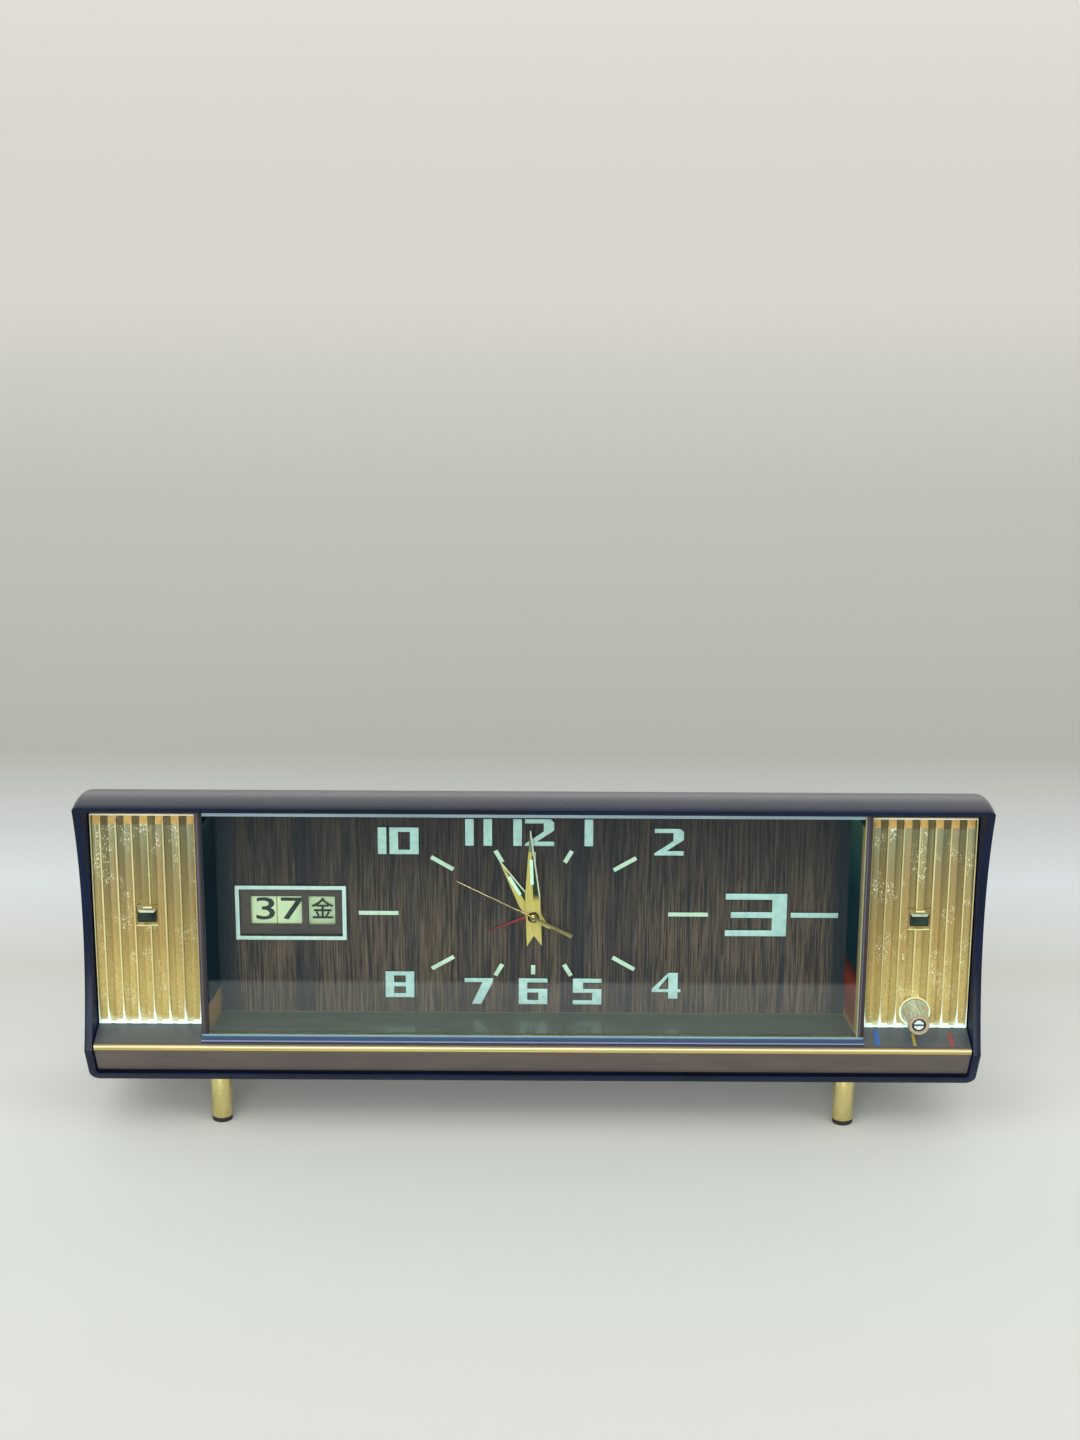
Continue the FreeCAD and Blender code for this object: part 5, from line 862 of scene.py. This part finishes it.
def panelOrnaments():
    # a small faceted stud in a shallow pocket half way up each panel
    look = {"middle": 154.9, "level": 90.8, "width": 7.3, "height": 5.2, "front": -32.2,
            "back": -29.8, "facet": 0.8, "step": 0.6, "frame": 0.45, "rim": 4.7, "rimLow": 86.3,
            "rimHigh": 95.3, "rimFront": -31.15, "rimRear": -29.85, "rimDepth": 1.15,
            "sillTop": 86.9, "sillRear": -29.9, "glint": ((-1.6, -31.3, 0.5), (2.1, -29.9, 1.3))}
    halfWide, halfHigh = look["width"] / 2, look["height"] / 2
    chrome = [finishes["chromePaintedReflection"], finishes["chromePaintedHighlight"]]
    gilt = [flutedGilt("pocketGilt"), finishes["paintedHighlightGlow"]]
    studs, frames = [], []
    for x in (-look["middle"], look["middle"]):
        z = look["level"]
        stud = addBlock("stud", (x - halfWide, look["front"] + look["step"], z - halfHigh),
                        (x + halfWide, look["back"], z + halfHigh))
        coat(stud, chrome)
        pushFront(stud, frontFace, -look["step"], 1 - 2 * look["facet"] / look["width"],
                  1 - 2 * look["facet"] / look["height"])
        softenEdges(stud, 0.12, 2, 15)
        # the top facets wear the pale chrome: painted highlight
        paintFaces(stud, 1, lambda at, normal: normal.z > 0.35)
        studs.append(stud)
        border = addBlock("pocketRim", (x - look["rim"], look["rimFront"], look["rimLow"]),
                          (x + look["rim"], look["rimRear"], look["rimHigh"]))
        coat(border, gilt)
        sinkFront(border, frontFace, look["frame"], look["rimDepth"])
        # the pocket's lower edge by the sill is pale: painted highlight
        paintFaces(border, 1, lambda at, normal: at.z < look["sillTop"] and at.y < look["sillRear"])
        softenEdges(border, 0.1, 1, 40)
        # a pale block just above each stud is a painted glint
        glint = addBlock("glint", *[(x + across, y, z + halfHigh + up)
                                    for across, y, up in look["glint"]])
        coat(glint, gilt[1:])
        softenEdges(glint, 0.2)
        frames += [border, glint]
    stud = joinPieces("panelStuds", studs)
    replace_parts(dress(stud, chrome, smooth=12), "panel_ornaments")
    dress(joinPieces("studPockets", frames), gilt)


# selector knob

def selectorKnob():
    # clear moulded knob with a metal core; its collar stands in a pale ring on the panel, a painted
    # highlight that glows
    look = {"place": (154.9, 50.7), "body": (-33.0, -30.5, 5.5), "recess": (1.1, 0.9),
            "steps": ((-0.6, 0.97), (-1.6, 0.93), (-3.6, 0.955), (-3.6, 0.95), (-1.9, 0.95),
                      (-0.7, 0.93)), "rimFrom": -44.2, "recessAt": -44.1,
            "core": (-44.6, -18.0, 2.0), "slotHalf": (2.6, 0.4),
            "slotFront": -46, "slotRear": -43.8, "collar": (-32.6, -30.9, 5.0),
            "ring": (-31.5, -30.0, 6.4), "ringRecess": (0.72, 1.3)}
    place = look["place"]
    surfaces = [finishes[name] for name in ("clearKnobAcrylic", "sandyRim", "chromePaintedReflection")]
    knob = addBar("knobBody", place, *look["body"], 64)
    coat(knob, surfaces)

    def endFace(at, normal):
        deepest = min(vertex.co.y for vertex in knob.data.vertices) / mm
        return normal.y < -0.95 and near(at.y, deepest, 0.05)

    for reach, share in look["steps"]:
        pushFront(knob, endFace, reach, share, share)
    sinkFront(knob, endFace, *look["recess"])
    paintFaces(knob, 1, lambda at, normal: at.y < look["rimFrom"])
    paintFaces(knob, 2, lambda at, normal: normal.y < -0.95 and near(at.y, look["recessAt"], 0.15))
    softenEdges(knob, 0.12, 2, 22)
    dress(knob, surfaces, "selector", 35)
    # the core's end shows in the recess, with a screwdriver slot across it; the core is painted
    # white as a painted glint, and the recess floor dark as a painted reflection
    core = addBar("knobCore", place, *look["core"], 40)
    halfWide, halfHigh = look["slotHalf"]
    cutAway(core, addBlock("slot", (place[0] - halfWide, look["slotFront"], place[1] - halfHigh),
                           (place[0] + halfWide, look["slotRear"], place[1] + halfHigh)))
    core = joinPieces("knobCore", [core, addBar("collar", place, *look["collar"])])
    softenEdges(core, 0.1, 1)
    dress(core, [finishes["paintedWhiteGlint"]], "selector")
    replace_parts(knob, "selector_knob")
    ring = addBar("knobRing", place, *look["ring"], 64)
    sinkFront(ring, frontFace, *look["ringRecess"])
    softenEdges(ring, 0.12)
    dress(ring, [finishes["paintedHighlightGlow"]])


# numerals, markers and calendar

def raisedPrint():
    # pale faces with side walls painted darker as painted shade, so each figure has a thin shadow
    # edge
    softCopies({
        "dial_numerals": ("dialNumerals", 0.12, 2, "mintPrint tealEdgePrint", "numeral_paint"),
        "hour_markers": ("hourMarkers", 0.1, 2, "luminousPaint greenEdgePaint", "marker_lume"),
        "calendar_surround": ("calendarSurround", 0.1, 2, "frameMintPrint tealEdgePrint",
                              "numeral_paint")}, lambda at, normal: normal.y > -0.7)


def calendarFigures():
    # figures printed on every face of the three drums; 3, 7 and the weekday sign face forward
    look = {"axis": 6.798, "film": 0.06, "lift": 0.1,
            "tens": ("3456789012", -109.2, -12.6, 13.7, 1.5, 0.006),
            "units": ("7890123456", -98.7, -12.6, 13.7, 1.5, 0.006),
            "weekday": ("金土日月火水木", -86.1, -11.95, 9.8, 0.95, 0.008)}
    for drum in ("tens", "units", "weekday"):
        signs, x, front, size, stretch, weight = look[drum]
        made = []
        for number, sign in enumerate(signs):
            clearSelection()
            bpy.ops.object.text_add(location=(0, 0, 0))
            text = bpy.context.object.data
            text.body = sign
            text.size = size * mm
            text.align_x = "CENTER"
            text.extrude = look["film"] * mm
            text.offset = weight * size * mm
            text.resolution_u = 6
            bpy.ops.object.convert(target="MESH")
            figure = bpy.context.object
            tops = [vertex.co.y for vertex in figure.data.vertices]
            level = (dialLevel + look["lift"]) * mm - (min(tops) + max(tops)) / 2
            figure.location = (x * mm, front * mm, level)
            figure.rotation_euler = (math.pi / 2, 0, 0)
            figure.scale = (stretch, 1, 1)
            settle(figure)
            with picked(figure, "FACE", anyFace):
                bpy.ops.transform.rotate(value=-number * 2 * math.pi / len(signs), orient_axis="X",
                                         center_override=(0, look["axis"] * mm, dialLevel * mm))
            made.append(figure)
        figures = joinPieces(drum + "Figures", made)
        dress(figures, [finishes["drumInk"]], drum + "_drum")


# hands

handLooks = {
    "minuteHand": {"node": "minute_hand", "body": "minute_arbor", "angle": 358.0, "length": 37.0,
                   "width": 6.1, "tail": 13.0, "front": -20.1, "hub": 2.4, "bore": 1.65,
                   "lume": (14.0, 24.8), "shade": (6.0, 26.0, 27.5)},
    "hourHand": {"node": "hour_hand", "body": "hour_arbor", "angle": 329.8, "length": 27.0,
                 "width": 6.0, "tail": 9.0, "front": -18.7, "hub": 2.7, "bore": 2.2,
                 "lume": (10.5, 19.5), "shade": (3.0, 26.0, 40.0)}}


def ridgedGold(name, look):
    # polished gilt, roof-shaped: above the hub the right-hand slope is painted dark green, a
    # painted reflection of the dark room around it
    shadeStart, shadeEnd, tipStart = look["shade"]
    material, tree = startMaterial(name + "Gold", Metallic=0.25, Roughness=0.25)
    place = addNode(tree, "TexCoord").outputs["Object"]
    centred = addNode(tree, "VectorMath", {0: place}, {1: (0, 0, dialLevel * mm)},
                      operation="SUBTRACT").outputs[0]
    turned = addNode(tree, "VectorRotate", {"Vector": centred},
                     {"Angle": -math.radians(look["angle"]), "Axis": (0, 1, 0)}).outputs[0]
    local = addNode(tree, "SeparateXYZ", {"Vector": turned}).outputs
    above = fade(tree, local["Z"], shadeStart * mm, (shadeStart + 4) * mm)
    below = fade(tree, local["Z"], shadeEnd * mm, (shadeEnd + 1) * mm, 0.25, 1.0)
    tip = fade(tree, local["Z"], tipStart * mm, (tipStart + 1.5) * mm)
    shade = fade(tree, local["X"], 0.0, 0.25 * mm)
    for operation, other in (("MULTIPLY", above), ("MULTIPLY", below), ("MAXIMUM", tip)):
        shade = addNode(tree, "Math", {0: shade, 1: other}, operation=operation).outputs[0]
    # a pale line, a painted highlight, follows the edge of the taper, from a quarter of the length
    # to the point
    half = look["width"] / 2
    taper = (half - 0.25) / (look["length"] * 0.75)
    across = addNode(tree, "Math", {0: local["Z"], 2: local["X"]}, {1: taper},
                     operation="MULTIPLY_ADD").outputs[0]
    edgeAt = half + taper * look["length"] / 4
    rim = fade(tree, across, (edgeAt - 0.62) * mm, (edgeAt - 0.5) * mm)
    rim = addNode(tree, "Math", {0: rim, 1: above}, operation="MULTIPLY").outputs[0]
    grain = mottle(tree, (0.3, 0.3, 4))
    colour = lay(tree, "#d9c46c", ("#e4d588", grain, 0.35, 0.7), ("#34452f", shade),
                 ("#848f78", tip), ("#e8f0d8", rim))
    return wire(material, Base_Color=colour, Roughness=fade(tree, grain, 0.3, 0.7, 0.26, 0.16))


def turnHand(piece, angle):
    piece.rotation_euler = (0, math.radians(angle), 0)
    piece.location = (0, 0, dialLevel * mm)
    return settle(piece)


def swallowHand(name, look):
    # a roof-shaped point in front and a forked tail behind
    shared = {"notch": 5.0, "ridge": 0.3, "flat": 0.35, "thick": 0.5, "tip": 0.5, "forkDrop": 0.2,
              "lumeHalf": 0.7, "lumeShift": 0.1, "lumeSunk": 0.22}
    half, length, tail, notch = look["width"] / 2, look["length"], look["tail"], shared["notch"]
    flat, back = look["front"] + shared["flat"], look["front"] + shared["thick"]
    hand = addBlock(name, (-half, flat, -tail), (half, back, length))
    for height in (length / 4, 0.0, notch - tail):
        with picked(hand, "FACE", anyFace):
            bpy.ops.mesh.bisect(plane_co=(0, 0, height * mm), plane_no=(0, 0, 1))
    with picked(hand, "FACE", anyFace):
        bpy.ops.mesh.bisect(plane_co=(0, 0, 0), plane_no=(1, 0, 0))
    with picked(hand, "VERT", lambda at: near(at.z, length)):
        bpy.ops.transform.resize(value=(shared["tip"] / look["width"], 1, 1),
                                 center_override=(0, 0, length * mm))
    with picked(hand, "VERT", lambda at: near(at.z, -tail) and near(at.x, 0)):
        bpy.ops.transform.translate(value=(0, 0, (notch - shared["forkDrop"]) * mm))
    with picked(hand, "VERT", lambda at:
                near(at.x, 0) and near(at.y, flat) and at.z > notch - tail - 0.5):
        bpy.ops.transform.translate(value=(0, -shared["ridge"] * mm, 0))
    turnHand(hand, look["angle"])
    with picked(hand, "FACE", anyFace):
        bpy.ops.mesh.normals_make_consistent(inside=False)
    hub = addBar("hub", (0, dialLevel), flat - 0.1, back - 0.02, look["hub"])
    for piece in (hand, hub):
        cutAway(piece, addBar("bore", (0, dialLevel), flat - 4, back + 4, look["bore"], 32))
    hand = joinPieces(name, [hand, hub])
    softenEdges(hand, 0.05, 1, 12)
    dress(hand, [ridgedGold(name, look)], look["body"], 8)
    low, high = look["lume"]
    shift, lumeHalf = shared["lumeShift"], shared["lumeHalf"]
    lumeFront = look["front"] - shared["ridge"] + shared["lumeSunk"]
    lume = addBlock(name + "Lume", (-lumeHalf - shift, lumeFront, low),
                    (lumeHalf - shift, back - 0.1, high))
    softenEdges(turnHand(lume, look["angle"]), 0.12)
    dress(lume, [finishes["handLume"]], look["body"])
    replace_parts(hand, look["node"])


def thinHands():
    look = {"ring": (-20.85, -20.2, 2.3), "bore": (-24, -17, 1.62)}
    softCopies({"second_hand": ("secondHand", 0.08, 2, "paleGilt", "hand_gold")})
    ring = addBar("centreRing", (0, dialLevel), *look["ring"])
    cutAway(ring, addBar("bore", (0, dialLevel), *look["bore"]))
    softenEdges(ring, 0.1)
    dress(ring, [finishes["bronzedRing"]], "minute_arbor")
    softCopies({"alarm_hand": ("alarmHand", 0.1, 2, "alarmRedPaint", "alarm_hand_red")})


# back

def rearFittings():
    # keys, lever and screws get soft edges; the setting knobs get a ribbed grip
    softCopies({"time_key": ("timeKey", 0.15, 2, "nickelKey", "key_metal"),
                "bell_key": ("bellKey", 0.15, 2, "nickelKey", "key_metal"),
                "music_key": ("musicKey", 0.15, 2, "nickelKey", "key_metal"),
                "regulator_lever": ("regulatorLever", 0.12, 2, "turnedSteel", "steel"),
                "case_screws": ("caseScrews", 0.08, 2, "zincScrew", "steel")})
    look = {"grips": {"timeGrip": ("time_set_knob", 0.28), "alarmGrip": ("alarm_set_knob", 0.25)},
            "start": 5.6, "end": 0.9, "corners": 60, "ridgeTurn": 12, "ridgeGap": 0.04,
            "ridgeShare": 0.8}
    for name, (nodeName, proud) in look["grips"].items():
        low, high = ([v / mm for v in corner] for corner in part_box(nodeName))
        place = ((low[0] + high[0]) / 2, (low[2] + high[2]) / 2)
        grip = addBar(name, place, high[1] - look["start"], high[1] - look["end"],
                      (high[0] - low[0]) / 2 + proud, look["corners"])

        def ridge(at, normal):
            turn = math.degrees(math.atan2(at.z - place[1], at.x - place[0])) % look["ridgeTurn"]
            return abs(normal.y) < 0.1 and turn < look["ridgeTurn"] / 2

        with picked(grip, "FACE", ridge):
            bpy.ops.mesh.inset(thickness=look["ridgeGap"] * mm, use_individual=True,
                               depth=-proud * mm * look["ridgeShare"])
        softenEdges(grip, 0.05, 1, 40)
        dress(grip, [finishes["blackAbs"]], nodes[nodeName]["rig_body"])


softCase()
windowTrim()
fasciaMarks()
print("case, trim and legs are soft at their edges")
flutedPanels()
panelOrnaments()
selectorKnob()
print("fluted panels, studs and knob stand")
raisedPrint()
calendarFigures()
print("dial print and calendar figures are on")
for handName, handLook in handLooks.items():
    swallowHand(handName, handLook)
thinHands()
print("hands are on")
rearFittings()
print("keys, lever, screws and grips are on")
